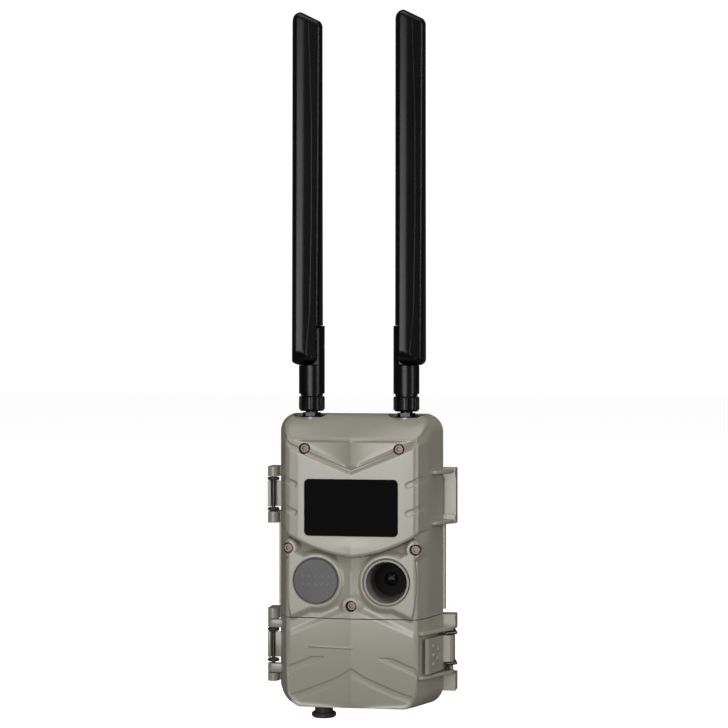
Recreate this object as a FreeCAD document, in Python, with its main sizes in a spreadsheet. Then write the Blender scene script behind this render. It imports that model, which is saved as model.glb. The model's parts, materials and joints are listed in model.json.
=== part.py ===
"""Cellular trail camera: hinged battery door, draw latch, two folding paddle antennas.

Row frame in millimetres: +Z up, the camera looks along -Y, +X is the latch side. The origin is the
mouth of the 1/4-20 tripod insert in the back face. Heights in the sheet are above the body's floor.
"""
import FreeCAD
import Part
import Sketcher
import math
import os
import re

Vector = FreeCAD.Vector
Rotation = FreeCAD.Rotation

SIZES = {
    # body shell
    "floor": -73.5, "height": 144, "depth": 64, "seam": -33, "wall": 2.5, "corner": 9,
    "half_front": 33.4, "half_seam": 41.2, "half_back": 36, "front_lift": 1.2, "back_lift": 3,
    "slope_start": 131.6, "slope_run": 20, "door_top": 44.7, "housing_low": 45.1, "door_gap": 0.35,
    "rail_low": 47, "rail_high": 89, "rail_depth": 4, "rail_proud": 0.9, "slope_ahead": 5,
    # window and optics
    "window_half": 23.1, "window_low": 85.2, "window_high": 112.8, "window_corner": 2.2,
    "window_sink": 0.9, "play": 0.2, "flange": 2, "flange_thick": 1.2,
    "eye_x": 17.6, "eye_z": 63, "eye_radius": 11, "tube_depth": 15.5, "tube_inner": 8.4,
    "bezel_thick": 1.5, "lens_radius": 2.6, "barrel_radius": 6, "barrel_long": 11.7,
    "pir_thick": 1.6, "pir_can": 4.6, "pir_can_long": 6, "pir_seat_long": 8, "board": 1.6,
    "led_radius": 1.5, "led_long": 3, "led_pitch_x": 5.2, "led_pitch_z": 5, "led_back": 5.5,
    "bay_roof": 42.2, "upper_floor": 47.6, "seal_out": 0.9, "seal_in": 1.7, "seal_deep": 0.9,
    "root": 2.2,
    # screws that hold the two housings together
    "screw_top_x": 23.4, "screw_top_z": 127.6, "screw_side_x": 31.5, "screw_side_z": 78.9,
    "screw_low_z": 51, "head_radius": 2.35, "head_high": 2.4, "head_sink": 3, "bore_radius": 2.8,
    "shank_radius": 1.5, "shank_long": 42, "hex_radius": 1.3, "hex_deep": 1.2, "column": 4,
    "clear_hole": 1.75, "pilot_hole": 1.55,
    # circuit boards behind the front housing
    "main_half": 26, "main_low": 57, "main_high": 122, "main_back": 18.4,
    "sense_half": 28, "sense_low": 56, "sense_high": 72, "modem_thick": 3, "modem_wide": 30,
    "modem_low": 84, "modem_high": 114,
    # antenna ports and antennas
    "ant_x": 23.85, "ant_y": -40.5, "port_floor": 142.3, "scoop": 9.4, "dish": 1, "port_pad": 6.2,
    "dish_reach": 9, "boss": 8, "boss_low": 137.8, "jack_collar": 2.6, "jack_bore": 0.7, "jack_open": 4,
    "jack_radius": 3.1, "jack_low": 133.3, "jack_top": 149.3, "hexnut": 4.6, "hexnut_high": 1.7,
    "washer": 5.6, "washer_high": 0.6, "nut_radius": 6.45, "nut_low": 145.3, "nut_high": 152.7,
    "nut_bore": 3.3, "knurl_radius": 0.3, "neck_cut": 0.85, "neck_gap": 0.2, "neck_high": 1.3,
    "knuckle_top": 187.7,
    "stem_radius": 2.1, "pivot_z": 177.4, "lobe": 9, "lobe_gap": 0.35, "split": 3.66,
    "blade_in": 5.4, "blade_out": 9.7, "blade_top": 344.2, "blade_slant": 6.4, "blade_mid": 260,
    "blade_corner": 4.3, "heel_in": 3, "heel_rise": 4,
    "half_low": 9, "half_mid": 6.9, "half_top": 5.6, "blade_round": 4.6, "ear_slot": 11.5,
    "tilt_pin": 1.5, "pin_fit": 0.05,
    # left side hinge hardware
    "hinge_x": -44.6, "hinge_y": -35.0, "hinge_wire": 0.85, "ear_radius": 2.8, "wire_fit": 0.05,
    "ring_orbit": 2.15, "guard_wide": 1.5, "guard_skin": 0.6, "guard_foot": 1.2, "guard_play": 1.2,
    "low_ear_a": 9.5, "low_ear_b": 13.6, "low_ear_c": 40.8, "low_ear_d": 46,
    "door_ear_a": 14, "door_ear_b": 18.4, "door_ear_c": 36.4, "door_ear_d": 40.5,
    "ring_low": 20, "ring_high": 35.3, "upper_lift": 75.7,
    "up_ear_a": 88.9, "up_ear_b": 94.4, "up_ear_c": 112.2, "up_ear_d": 117.1,
    # right side: brackets, draw latch
    "bracket_half": 47.2, "bracket_front": -32.8, "bracket_back": -24, "spine_deep": 6.2,
    "bracket_a_low": 6.4, "bracket_a_high": 15.4, "bracket_b_low": 37.2, "bracket_b_high": 44.4,
    "bracket_c_low": 89.5, "bracket_c_high": 94, "bracket_d_low": 112.5, "bracket_d_high": 117,
    "shelf_c_low": 89.8, "shelf_d_low": 114.8,
    "latch_x": 43.6, "latch_y": -36.1, "latch_pin": 1.0, "shelf_low": 15.6, "shelf_high": 37.15,
    "shelf_thick": 1.7, "grip_low": 18.2, "grip_high": 35.3, "web_low": 22.0, "web_high": 34.9,
    "grip_thick": 2.2, "grip_gap": 0.9, "grip_front": -58, "grip_back": -41, "bail_x": 43.6,
    "bail_y": -39.7, "bail_low": 20.9, "bail_high": 36.0, "bail_out": 48.0, "bail_out_y": -36.6,
    "bar_x": 45.3, "bar_y": -24.9, "bail_tail": 2.6, "catch_low": 22.8, "catch_high": 34.0,
    # battery compartment behind the door
    "cell_radius": 7.25, "cell_long": 50.5, "cell_pitch": 14.9, "cell_first_x": -6.2,
    "cell_first_z": 13.2, "cell_front": -56.5, "cell_bore": 7.35, "tray_left": -14.2,
    "tray_right": 31.6, "tray_low": 4.6, "tray_high": 36.2, "tray_front": -55.5, "tray_back": -6.5,
    "contact": 0.5, "spring_radius": 3.2, "inner_gap": 3.4,
    # control panel, display, buttons, card
    "panel_left": -34.8, "panel_right": -15.4, "panel_low": 8, "panel_high": 41.6, "panel_front": -44,
    "panel_thick": 2, "panel_rear": -10, "panel_shell": 1.2, "lcd_left": -33.4, "lcd_right": -17.4,
    "lcd_low": 30.2, "lcd_high": 39.8,
    "button_radius": 2.3, "button_hole": 2.45, "button_out": 1.2, "button_in": 2.6, "button_flange": 3,
    "button_left": -27.6, "button_right": -20.5, "button_low": 19.2, "button_high": 26,
    "card_left": -30.6, "card_wide": 11, "card_thick": 1, "card_z": 12.6, "card_out": 2.4,
    "card_long": 15, "slot_wide": 13.4, "slot_high": 2.8, "slot_deep": 14,
    # external power jack below
    "jack_x": -20.5, "jack_y": -26, "power_radius": 5.2, "power_bore": 2.75, "power_top": 10,
    "power_skirt": 6.8, "power_low": 1.2, "plug_neck": 4.6, "plug_flange": 6.2, "plug_low": 9.6,
    "plug_thick": 2.7, "plug_stem": 2.6, "plug_stem_top": 5,
    # tripod insert and strap brackets on the back
    "insert_bore": 3.175, "insert_outer": 5, "insert_deep": 10, "insert_boss": 8.5,
    "strap_x": 21, "strap_wide": 7, "strap_high": 44, "strap_out": 9.5, "strap_slot": 28,
    "strap_gap": 5.4, "strap_skin": 2.2,
}

doc = FreeCAD.newDocument("TrailCamera")
sheet = doc.addObject("Spreadsheet::Sheet", "Sizes")
for line, (alias, value) in enumerate(SIZES.items(), start=1):
    sheet.set(f"A{line}", alias)
    sheet.set(f"B{line}", str(value))
    sheet.setAlias(f"B{line}", alias)
doc.recompute()

SUB_PARTS = []
UPRIGHT = Rotation()
FORWARD = Rotation(Vector(1, 0, 0), 90)     # local Z points to -Y, local Y up
AXIS_TURN = {"X": Rotation(Vector(0, 1, 0), 90), "Y": Rotation(Vector(1, 0, 0), -90), "Z": UPRIGHT}


# ---------------------------------------------------------------- sheet and expressions
def formula(text):
    """Turn the alias words of a size text into references to the sheet."""
    def reference(word):
        return "Sizes." + word.group() if word.group() in SIZES else word.group()
    return re.sub(r"[a-z]+(?:_[a-z]+)*", reference, str(text))


def bind(item, prop, text):
    item.setExpression(prop, formula(text))


def measure(text):
    """The number that a size text stands for."""
    result = sheet.evalExpression(formula(text))
    return float(getattr(result, "Value", result))


def place(item, at):
    for letter, text in zip("xyz", at):
        bind(item, f"Placement.Base.{letter}", text)


def up(text):
    """A height above the body's floor, in the row frame."""
    return f"floor + {text}"


# ---------------------------------------------------------------- Part primitives and booleans
def block(name, low, high):
    item = doc.addObject("Part::Box", name)
    for side, start, end in zip(("Length", "Width", "Height"), low, high):
        bind(item, side, f"({end}) - ({start})")
    place(item, low)
    return item


def rod(name, axis, at, length, radius):
    item = doc.addObject("Part::Cylinder", name)
    item.Placement = FreeCAD.Placement(Vector(), AXIS_TURN[axis])
    bind(item, "Radius", radius)
    bind(item, "Height", length)
    place(item, at)
    return item


def ball(name, at, radius):
    item = doc.addObject("Part::Sphere", name)
    bind(item, "Radius", radius)
    place(item, at)
    return item


def ring(name, at, orbit, radius):
    item = doc.addObject("Part::Torus", name)
    bind(item, "Radius1", orbit)
    bind(item, "Radius2", radius)
    place(item, at)
    return item


def union(name, *items):
    item = doc.addObject("Part::MultiFuse", name)
    item.Shapes = list(items)
    return item


def cut(name, base, *tools):
    item = doc.addObject("Part::Cut", name)
    item.Base = base
    item.Tool = tools[0] if len(tools) == 1 else union(name + "_tools", *tools)
    return item


def common(name, *items):
    item = doc.addObject("Part::MultiCommon", name)
    item.Shapes = list(items)
    return item


def group(label, items):
    item = doc.addObject("Part::Compound", label)
    item.Links = list(items)
    return keep(item, label)


def keep(item, label):
    """Name a finished sub-part."""
    item.Label = label
    SUB_PARTS.append(item)
    return item


# ---------------------------------------------------------------- sketches
def fix_point(sketch, edge, end, x_text, y_text):
    for kind, text, axis in (("DistanceX", x_text, -2), ("DistanceY", y_text, -1)):
        value = measure(text)
        if abs(value) < 1e-9:
            sketch.addConstraint(Sketcher.Constraint("PointOnObject", edge, end, axis))
            continue
        rule = sketch.addConstraint(Sketcher.Constraint(kind, -1, 1, edge, end, value))
        sketch.setExpression(f"Constraints[{rule}]", formula(text))


def draw_polygon(sketch, corners):
    points = [Vector(measure(x), measure(y), 0) for x, y in corners]
    count = len(points)
    for index in range(count):
        sketch.addGeometry(Part.LineSegment(points[index], points[(index + 1) % count]), False)
    for index in range(count):
        sketch.addConstraint(Sketcher.Constraint("Coincident", index, 2, (index + 1) % count, 1))
    for index, (x_text, y_text) in enumerate(corners):
        fix_point(sketch, index, 1, x_text, y_text)


def draw_rounded(sketch, low, high, radius):
    """A rectangle with round corners: lines 0, 2, 4, 6 and arcs 1, 3, 5, 7 between them."""
    left, bottom, right, top = (measure(text) for text in (*low, *high))
    bend = measure(radius)
    centres = ((right - bend, bottom + bend, -90), (right - bend, top - bend, 0),
               (left + bend, top - bend, 90), (left + bend, bottom + bend, 180))
    starts = ((left + bend, bottom), (right, bottom + bend), (right - bend, top), (left, top - bend))
    ends = ((right - bend, bottom), (right, top - bend), (left + bend, top), (left, bottom + bend))
    for (x, y, angle), start, end in zip(centres, starts, ends):
        sketch.addGeometry(Part.LineSegment(Vector(*start, 0), Vector(*end, 0)), False)
        circle = Part.Circle(Vector(x, y, 0), Vector(0, 0, 1), bend)
        arc = Part.ArcOfCircle(circle, math.radians(angle), math.radians(angle + 90))
        sketch.addGeometry(arc, False)
    for index in range(0, 8, 2):
        sketch.addConstraint(Sketcher.Constraint("Tangent", index, 2, index + 1, 1))
        sketch.addConstraint(Sketcher.Constraint("Tangent", index + 1, 2, (index + 2) % 8, 1))
    for index, kind in ((0, "Horizontal"), (2, "Vertical"), (4, "Horizontal"), (6, "Vertical")):
        sketch.addConstraint(Sketcher.Constraint(kind, index))
    for index in (3, 5, 7):
        sketch.addConstraint(Sketcher.Constraint("Equal", 1, index))
    rule = sketch.addConstraint(Sketcher.Constraint("Radius", 1, bend))
    sketch.setExpression(f"Constraints[{rule}]", formula(radius))
    sides = ((0, "DistanceY", low[1]), (2, "DistanceX", high[0]),
             (4, "DistanceY", high[1]), (6, "DistanceX", low[0]))
    for index, kind, text in sides:
        rule = sketch.addConstraint(Sketcher.Constraint(kind, -1, 1, index, 1, measure(text)))
        sketch.setExpression(f"Constraints[{rule}]", formula(text))


def section(name, y_text, half, low, high, radius):
    """A free sketch of a rounded rectangle across the body at one depth."""
    sketch = doc.addObject("Sketcher::SketchObject", name)
    sketch.Placement = FreeCAD.Placement(Vector(), FORWARD)
    bind(sketch, "Placement.Base.y", y_text)
    draw_rounded(sketch, (f"-({half})", low), (half, high), radius)
    return sketch


def level(name, z_text, low, high, radius):
    """A free sketch of a rounded rectangle at one height."""
    sketch = doc.addObject("Sketcher::SketchObject", name)
    bind(sketch, "Placement.Base.z", z_text)
    draw_rounded(sketch, low, high, radius)
    return sketch


def loft(name, *sections):
    item = doc.addObject("Part::Loft", name)
    item.Sections = list(sections)
    item.Solid = True
    item.Ruled = True
    return item


# ---------------------------------------------------------------- PartDesign bodies
def origin_plane(body, role):
    return next(item for item in body.Origin.OriginFeatures if item.Role == role)


def body_sketch(body, role, offset="0"):
    sketch = body.newObject("Sketcher::SketchObject", body.Name + "_sketch")
    sketch.AttachmentSupport = [(origin_plane(body, role), "")]
    sketch.MapMode = "FlatFace"
    bind(sketch, "AttachmentOffset.Base.z", offset)
    return sketch


def add_pad(body, sketch, length):
    feature = body.newObject("PartDesign::Pad", body.Name + "_pad")
    feature.Profile = sketch
    bind(feature, "Length", length)
    sketch.Visibility = False
    return feature


def add_pocket(body, sketch, length, reverse=False):
    feature = body.newObject("PartDesign::Pocket", body.Name + "_pocket")
    feature.Profile = sketch
    feature.Reversed = reverse
    bind(feature, "Length", length)
    return feature


def plate(name, role, start, thick, low, high, radius):
    """A rounded plate padded from an origin plane."""
    body = doc.addObject("PartDesign::Body", name)
    sketch = body_sketch(body, role, start)
    draw_rounded(sketch, low, high, radius)
    add_pad(body, sketch, thick)
    return body


def prism(name, role, start, thick, corners):
    body = doc.addObject("PartDesign::Body", name)
    sketch = body_sketch(body, role, start)
    draw_polygon(sketch, corners)
    add_pad(body, sketch, thick)
    return body


def turned(name, profile, turn, at):
    """A body turned about its own Z axis; profile holds (radius, height) corners."""
    body = doc.addObject("PartDesign::Body", name)
    sketch = body_sketch(body, "XZ_Plane")
    draw_polygon(sketch, profile)
    feature = body.newObject("PartDesign::Revolution", name + "_turn")
    feature.Profile = sketch
    feature.ReferenceAxis = (sketch, ["V_Axis"])
    feature.Angle = 360
    body.Placement = FreeCAD.Placement(Vector(), turn)
    place(body, at)
    return body


# ---------------------------------------------------------------- body shell
def blank(name, inset):
    """The closed outer form of the whole body, moved inward by inset."""
    low = f"{up('0')} + {inset}"
    high = f"{up('height')} - {inset}"
    bend = f"corner - {inset} * 0.7"
    front = section(name + "_front", f"-depth + {inset}", f"half_front - {inset}",
                    f"{low} + front_lift", high, bend)
    middle = section(name + "_middle", "seam", f"half_seam - {inset}", low, high, bend)
    back = section(name + "_back", f"-({inset})", f"half_back - {inset}", f"{low} + back_lift",
                   f"{high} - back_lift", bend)
    whole = union(name + "_whole", loft(name + "_fore", middle, front),
                  loft(name + "_aft", middle, back))
    return cut(name, whole, brow_wedge(name + "_wedge", f"{inset} * 1.18"))


def brow_wedge(name, drop):
    """Everything above the sloping brow, from drop below its surface."""
    slope = "(height - slope_start) / slope_run"
    wedge = doc.addObject("PartDesign::Body", name)
    sketch = body_sketch(wedge, "YZ_Plane", "-half_seam")
    draw_polygon(sketch, (
        ("-depth - slope_ahead", f"{up('slope_start')} - {drop} - slope_ahead * {slope}"),
        ("-depth + slope_run", f"{up('height')} - {drop}"),
        ("-depth + slope_run + slope_ahead", f"{up('height')} - {drop} + slope_ahead"),
        ("-depth - slope_ahead", f"{up('height')} + slope_ahead")))
    add_pad(wedge, sketch, "2 * half_seam")
    return wedge


OUTER = blank("outer", "0")
INNER = blank("inner", "wall")
TOP_Z = up("height + 20")
LOW_Z = up("-20")


def slab(name, y_low, y_high, z_low, z_high, half="60"):
    return block(name, (f"-{half}", y_low, z_low), (half, y_high, z_high))


def hollow(name, keep_zone):
    """The body's wall inside one zone."""
    return common(name, cut(name + "_skin", OUTER, INNER), keep_zone)


def screw_places():
    return (("screw_top_x", "screw_top_z"), ("-screw_top_x", "screw_top_z"),
            ("screw_side_x", "screw_side_z"), ("-screw_side_x", "screw_side_z"), ("0", "screw_low_z"))


def antenna_sides():
    return (("left", "-"), ("right", ""))


def hinge_ears(name, spans, web_out, web_in):
    """Ears that carry the hinge wire: a round nose and a web to the shell, for each height span."""
    ears = []
    for number, (low, high) in enumerate(spans):
        nose = rod(f"{name}_nose{number}", "Z", ("hinge_x", "hinge_y", up(low)),
                   f"{high} - {low}", "ear_radius")
        web = block(f"{name}_web{number}", ("hinge_x - ear_radius", web_out, up(low)),
                    ("-half_seam + root", web_in, up(high)))
        ears += [nose, web]
    return ears


def hinge_guard(name, lift, root_y):
    """A strip that stands beside the hinge wire between its two rings, and the web behind the wire."""
    low = up(f"{lift}ring_low + guard_play")
    high = up(f"{lift}ring_high - guard_play")
    left = "hinge_x - ear_radius"
    strip = block(name, (left, "hinge_y - 1", low), (f"{left} + guard_wide", root_y, high))
    web = block(name + "_web", (left, f"{root_y} - guard_skin", low), ("-half_seam + root", root_y, high))
    return strip, web


def wire_holes(name):
    return rod(name, "Z", ("hinge_x", "hinge_y", up("low_ear_a - 1")),
               "up_ear_d - low_ear_a + 2", "hinge_wire + wire_fit")


def make_rear_housing():
    skin = hollow("rear_wall", slab("rear_zone", "seam", "5", LOW_Z, TOP_Z))
    inside = cut("rear_limit", OUTER, slab("rear_front", "-100", "seam", LOW_Z, TOP_Z))
    bosses = [rod(f"rear_boss{number}", "Y", (x, "seam", up(z)), "-seam", "column")
              for number, (x, z) in enumerate(screw_places())]
    seat = rod("insert_seat", "Y", ("0", "-insert_deep - wall", "0"), "insert_deep + wall", "insert_boss")
    posts = common("rear_posts", union("rear_post_set", *bosses, seat), inside)
    ears = hinge_ears("rear_ear", (("low_ear_a", "low_ear_b"), ("low_ear_c", "low_ear_d"),
                                   ("up_ear_a", "up_ear_b"), ("up_ear_c", "up_ear_d")),
                      "hinge_y", "bracket_back")
    near = block("ear_limit", ("-60", "-50", LOW_Z), ("-half_seam - 0.6", "seam", TOP_Z))
    behind = block("ear_root", ("-60", "seam", LOW_Z), ("-half_seam + root", "0", TOP_Z))
    ear_set = common("rear_ears", union("rear_ear_set", *ears), union("ear_zone", near, behind))
    brackets = [block(f"bracket{number}", ("half_seam - root", "bracket_front", up(low)),
                      ("bracket_half", "bracket_back", up(high)))
                for number, (low, high) in enumerate((
                    ("bracket_a_low", "bracket_a_high"), ("bracket_b_low", "bracket_b_high"),
                    ("bracket_c_low", "bracket_c_high"), ("bracket_d_low", "bracket_d_high")))]
    spine = block("bracket_spine", ("half_seam - root", "bracket_back - spine_deep", up("bracket_c_low")),
                  ("bracket_half", "bracket_back", up("bracket_d_high")))
    guard = hinge_guard("upper_guard", "upper_lift + ", "seam + guard_foot")
    catch = prism("catch", "XY_Plane", up("catch_low"), "catch_high - catch_low",
                  (("half_seam - root", "-32.4"), ("43.4", "-32.4"), ("45.3", "-30"),
                   ("45.3", "-27.4"), ("43.8", "-26"), ("half_seam - root", "-26")))
    rails = [block(f"rail{number}", (f"{side}half_seam - rail_proud", "seam", up("rail_low")),
                   (f"{side}half_seam + rail_proud", "seam + rail_depth", up("rail_high")))
             for number, side in enumerate(("-", ""))]
    partition = common("partition", OUTER, slab("partition_zone", "seam", "-wall", up("bay_roof"),
                                                up("upper_floor")))
    skirt = rod("power_skirt", "Z", ("jack_x", "jack_y", up("-power_low")), "power_low + 3", "power_skirt")
    solid = union("rear_solid", skin, partition, posts, ear_set, *brackets, spine, catch, *guard,
                  skirt, *rails)
    holes = [rod(f"rear_pilot{number}", "Y", (x, "seam - 1", up(z)), "-seam - wall", "pilot_hole")
             for number, (x, z) in enumerate(screw_places())]
    well = rod("insert_well", "Y", ("0", "-insert_deep", "0"), "insert_deep + 5", "insert_outer")
    power = rod("power_hole", "Z", ("jack_x", "jack_y", up("-5")), "12", "power_radius")
    seals = [seal_ring("upper_groove", "upper_floor - 1.6", "height + 5"),
             seal_ring("door_groove", "-5", "door_top - 0.6")]
    keep(cut("rear_housing", solid, *holes, well, power, *seals, wire_holes("rear_wire_hole")),
         "rear_housing")


def port_dish(name, centre):
    """The recess round an antenna port, just below the brow, with a flat pad left in its middle."""
    wide = rod(f"dish_rod_{name}", "Z", (*centre, up("port_floor - dish_reach")), "2 * dish_reach", "scoop")
    below = common(f"dish_zone_{name}", wide, brow_wedge(f"dish_wedge_{name}", "dish"))
    pad = rod(f"port_pad_{name}", "Z", (*centre, up("port_floor - dish_reach - 1")), "dish_reach + 1",
              "port_pad")
    return cut(f"dish_{name}", below, pad)


def make_front_housing():
    zone = slab("front_zone", "-100", "seam", up("housing_low"), TOP_Z)
    skin = hollow("front_wall", zone)
    inside = common("front_limit", OUTER, zone)
    shelf_floor = common("front_floor", OUTER,
                         slab("front_floor_zone", "-100", "seam", up("housing_low"),
                              up("housing_low + wall")))
    columns = [rod(f"front_column{number}", "Y", (x, "-depth", up(z)), "depth + seam", "column")
               for number, (x, z) in enumerate(screw_places())]
    bosses = [rod(f"port_boss_{name}", "Z", (f"{sign}ant_x", "ant_y", up("boss_low")),
                  "height - boss_low", "boss") for name, sign in antenna_sides()]
    posts = common("front_posts", union("front_post_set", *columns, *bosses), inside)
    shelves = [prism(f"shelf{number}", "XY_Plane", up(z), "shelf_thick",
                     (("half_seam - wall - 1", "seam"), ("half_seam - 4.6", "-47.6"),
                      ("half_seam - 1.6", "-48.6"), ("bracket_half - 0.8", "-36.5"),
                      ("bracket_half - 0.8", "seam")))
               for number, z in enumerate(("shelf_c_low", "shelf_d_low"))]
    solid = union("front_solid", skin, shelf_floor, posts, *shelves)
    cuts = []
    for number, (x, z) in enumerate(screw_places()):
        cuts.append(rod(f"front_bore{number}", "Y", (x, "-depth - 1", up(z)),
                        "head_sink + head_high + 1", "bore_radius"))
        cuts.append(rod(f"front_clear{number}", "Y", (x, "-depth", up(z)), "depth", "clear_hole"))
    for name, sign in antenna_sides():
        centre = (f"{sign}ant_x", "ant_y")
        cuts.append(rod(f"scoop_{name}", "Z", (*centre, up("port_floor")), "dish_reach", "scoop"))
        cuts.append(port_dish(name, centre))
        cuts.append(rod(f"port_{name}", "Z", (*centre, up("boss_low - 1")), "dish_reach",
                        "jack_radius + play"))
    cuts.append(plate("window_hole", "XZ_Plane", "depth - wall - 1", "wall + 2",
                      ("-window_half - play", up("window_low - play")),
                      ("window_half + play", up("window_high + play")), "window_corner"))
    for name, x in (("pir", "-eye_x"), ("lens", "eye_x")):
        cuts.append(rod(f"eye_{name}", "Y", (x, "-depth - 1", up("eye_z")), "wall + 2",
                        "eye_radius + play"))
    keep(cut("front_housing", solid, *cuts), "front_housing")


def seal_ring(name, low, high):
    """A square cord that runs round a rim of the rear housing, level with the seam."""
    step = "seal_in - seal_out"
    outer = common(name + "_outer", blank(name + "_big", "seal_out"),
                   slab(name + "_zone", "seam", "seam + seal_deep", up(low), up(high)))
    inner = common(name + "_inner", blank(name + "_small", "seal_in"),
                   slab(name + "_core", "seam - 1", "seam + 5", up(f"{low} + {step}"),
                        up(f"{high} - ({step})")))
    return cut(name, outer, inner)


def make_seals():
    keep(seal_ring("housing_gasket", "upper_floor - 1.6", "height + 5"), "housing_gasket")
    keep(seal_ring("door_gasket", "-5", "door_top - 0.6"), "door_gasket")


def make_window():
    front = plate("window_front", "XZ_Plane", "depth - wall", "wall - window_sink",
                  ("-window_half", up("window_low")), ("window_half", up("window_high")),
                  "window_corner")
    rim = plate("window_rim", "XZ_Plane", "depth - wall - flange_thick", "flange_thick",
                ("-window_half - flange", up("window_low - flange")),
                ("window_half + flange", up("window_high + flange")), "window_corner")
    keep(union("ir_window", front, rim), "ir_window")


def make_leds():
    face = "-depth + wall + flange_thick + led_back"
    keep(plate("ir_led_board", "XZ_Plane", f"-({face}) - board", "board",
               ("-window_half", up("window_low - 0.5")), ("window_half", up("window_high + 0.5")), "1"),
         "ir_led_board")
    leds = []
    for column in range(8):
        for row in range(5):
            x = f"{column - 3.5} * led_pitch_x"
            z = up(f"(window_low + window_high) / 2 + {row - 2} * led_pitch_z")
            leds.append(turned(f"led_{column}_{row}", (
                ("0", "0"), ("led_radius", "0"), ("led_radius", "led_long * 0.6"),
                ("led_radius * 0.6", "led_long * 0.9"), ("0", "led_long")), FORWARD, (x, face, z)))
    group("ir_leds", leds)


def make_pir():
    at = ("-eye_x", "-depth + wall", up("eye_z"))
    keep(turned("pir_lens", (
        ("0", "-flange_thick"), ("eye_radius + 1.6", "-flange_thick"), ("eye_radius + 1.6", "0"),
        ("eye_radius", "0"), ("eye_radius", "pir_thick - 0.4"), ("eye_radius - 0.4", "pir_thick"),
        ("0", "pir_thick")), FORWARD, at), "pir_lens")
    keep(turned("pir_retainer", (
        ("eye_radius - 1", "-3.4"), ("eye_radius + 1.4", "-3.4"), ("eye_radius + 1.4", "-flange_thick"),
        ("eye_radius - 1", "-flange_thick")), FORWARD, at), "pir_retainer")
    keep(turned("pir_sensor", (
        ("0", "0"), ("3.4", "0"), ("3.4", "pir_seat_long"), ("pir_can + 0.6", "pir_seat_long"),
        ("pir_can + 0.6", "pir_seat_long + 0.5"), ("pir_can", "pir_seat_long + 0.5"),
        ("pir_can", "pir_seat_long + pir_can_long"), ("0", "pir_seat_long + pir_can_long")),
        FORWARD, ("-eye_x", "seam - board", up("eye_z"))), "pir_sensor")


def make_lens():
    back = "-tube_depth"
    at = ("eye_x", "-depth + 0.4", up("eye_z"))
    keep(turned("lens_tube", (
        ("eye_radius - 0.9", "0"), ("eye_radius", "0"), ("eye_radius", "-wall + 0.2"),
        ("eye_radius - 0.4", f"{back} - bezel_thick"), ("tube_inner - 0.8", f"{back} - bezel_thick"),
        ("tube_inner - 0.8", f"{back} - bezel_thick + 0.6"), ("tube_inner + 0.1",
         f"{back} - bezel_thick + 0.6"), ("tube_inner + 0.1", back)), FORWARD, at), "lens_tube")
    bezel_low = f"{back} - bezel_thick + 0.6"
    keep(turned("lens_bezel", (
        ("lens_radius + 0.1", bezel_low), ("tube_inner", bezel_low), ("tube_inner", back),
        ("lens_radius + 0.9", back), ("lens_radius + 0.1", f"{back} - 0.5")), FORWARD, at), "lens_bezel")
    keep(turned("lens_glass", (
        ("0", f"{bezel_low} - 0.3"), ("lens_radius", f"{bezel_low} - 0.3"), ("lens_radius", f"{back} - 0.55"),
        ("lens_radius * 0.6", f"{back} - 0.3"), ("0", f"{back} - 0.2")), FORWARD, at), "lens_glass")
    keep(turned("lens_barrel", (
        ("0", "0"), ("barrel_radius + 1", "0"), ("barrel_radius + 1", "3"), ("barrel_radius", "3"),
        ("barrel_radius", "barrel_long"), ("0", "barrel_long")),
        FORWARD, ("eye_x", "seam - board", up("eye_z"))), "lens_barrel")


def make_boards():
    keep(plate("sensor_board", "XZ_Plane", "-seam", "board", ("-sense_half", up("sense_low")),
               ("sense_half", up("sense_high")), "1"), "sensor_board")
    keep(plate("main_board", "XZ_Plane", "main_back", "board", ("-main_half", up("main_low")),
               ("main_half", up("main_high")), "1.5"), "main_board")
    keep(plate("cell_modem", "XZ_Plane", "main_back + board", "modem_thick",
               ("-modem_wide / 2", up("modem_low")), ("modem_wide / 2", up("modem_high")), "1"),
         "cell_modem")


def make_screws():
    screws = []
    for number, (x, z) in enumerate(screw_places()):
        body = turned(f"screw{number}", (
            ("0", "-shank_long"), ("shank_radius - 0.6", "-shank_long"),
            ("shank_radius", "-shank_long + 1.5"), ("shank_radius", "0"), ("head_radius", "0"),
            ("head_radius", "head_high - 0.4"), ("head_radius - 0.4", "head_high"), ("0", "head_high")),
            FORWARD, (x, "-depth + head_sink + head_high", up(z)))
        sketch = body_sketch(body, "XY_Plane", "head_high - hex_deep")
        corner = "hex_radius * 0.866"
        draw_polygon(sketch, (("hex_radius", "0"), ("hex_radius * 0.5", corner),
                              ("-hex_radius * 0.5", corner), ("-hex_radius", "0"),
                              ("-hex_radius * 0.5", f"-{corner}"), ("hex_radius * 0.5", f"-{corner}")))
        add_pocket(body, sketch, "hex_deep + 1", reverse=True)
        screws.append(body)
    group("housing_screws", screws)


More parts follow.
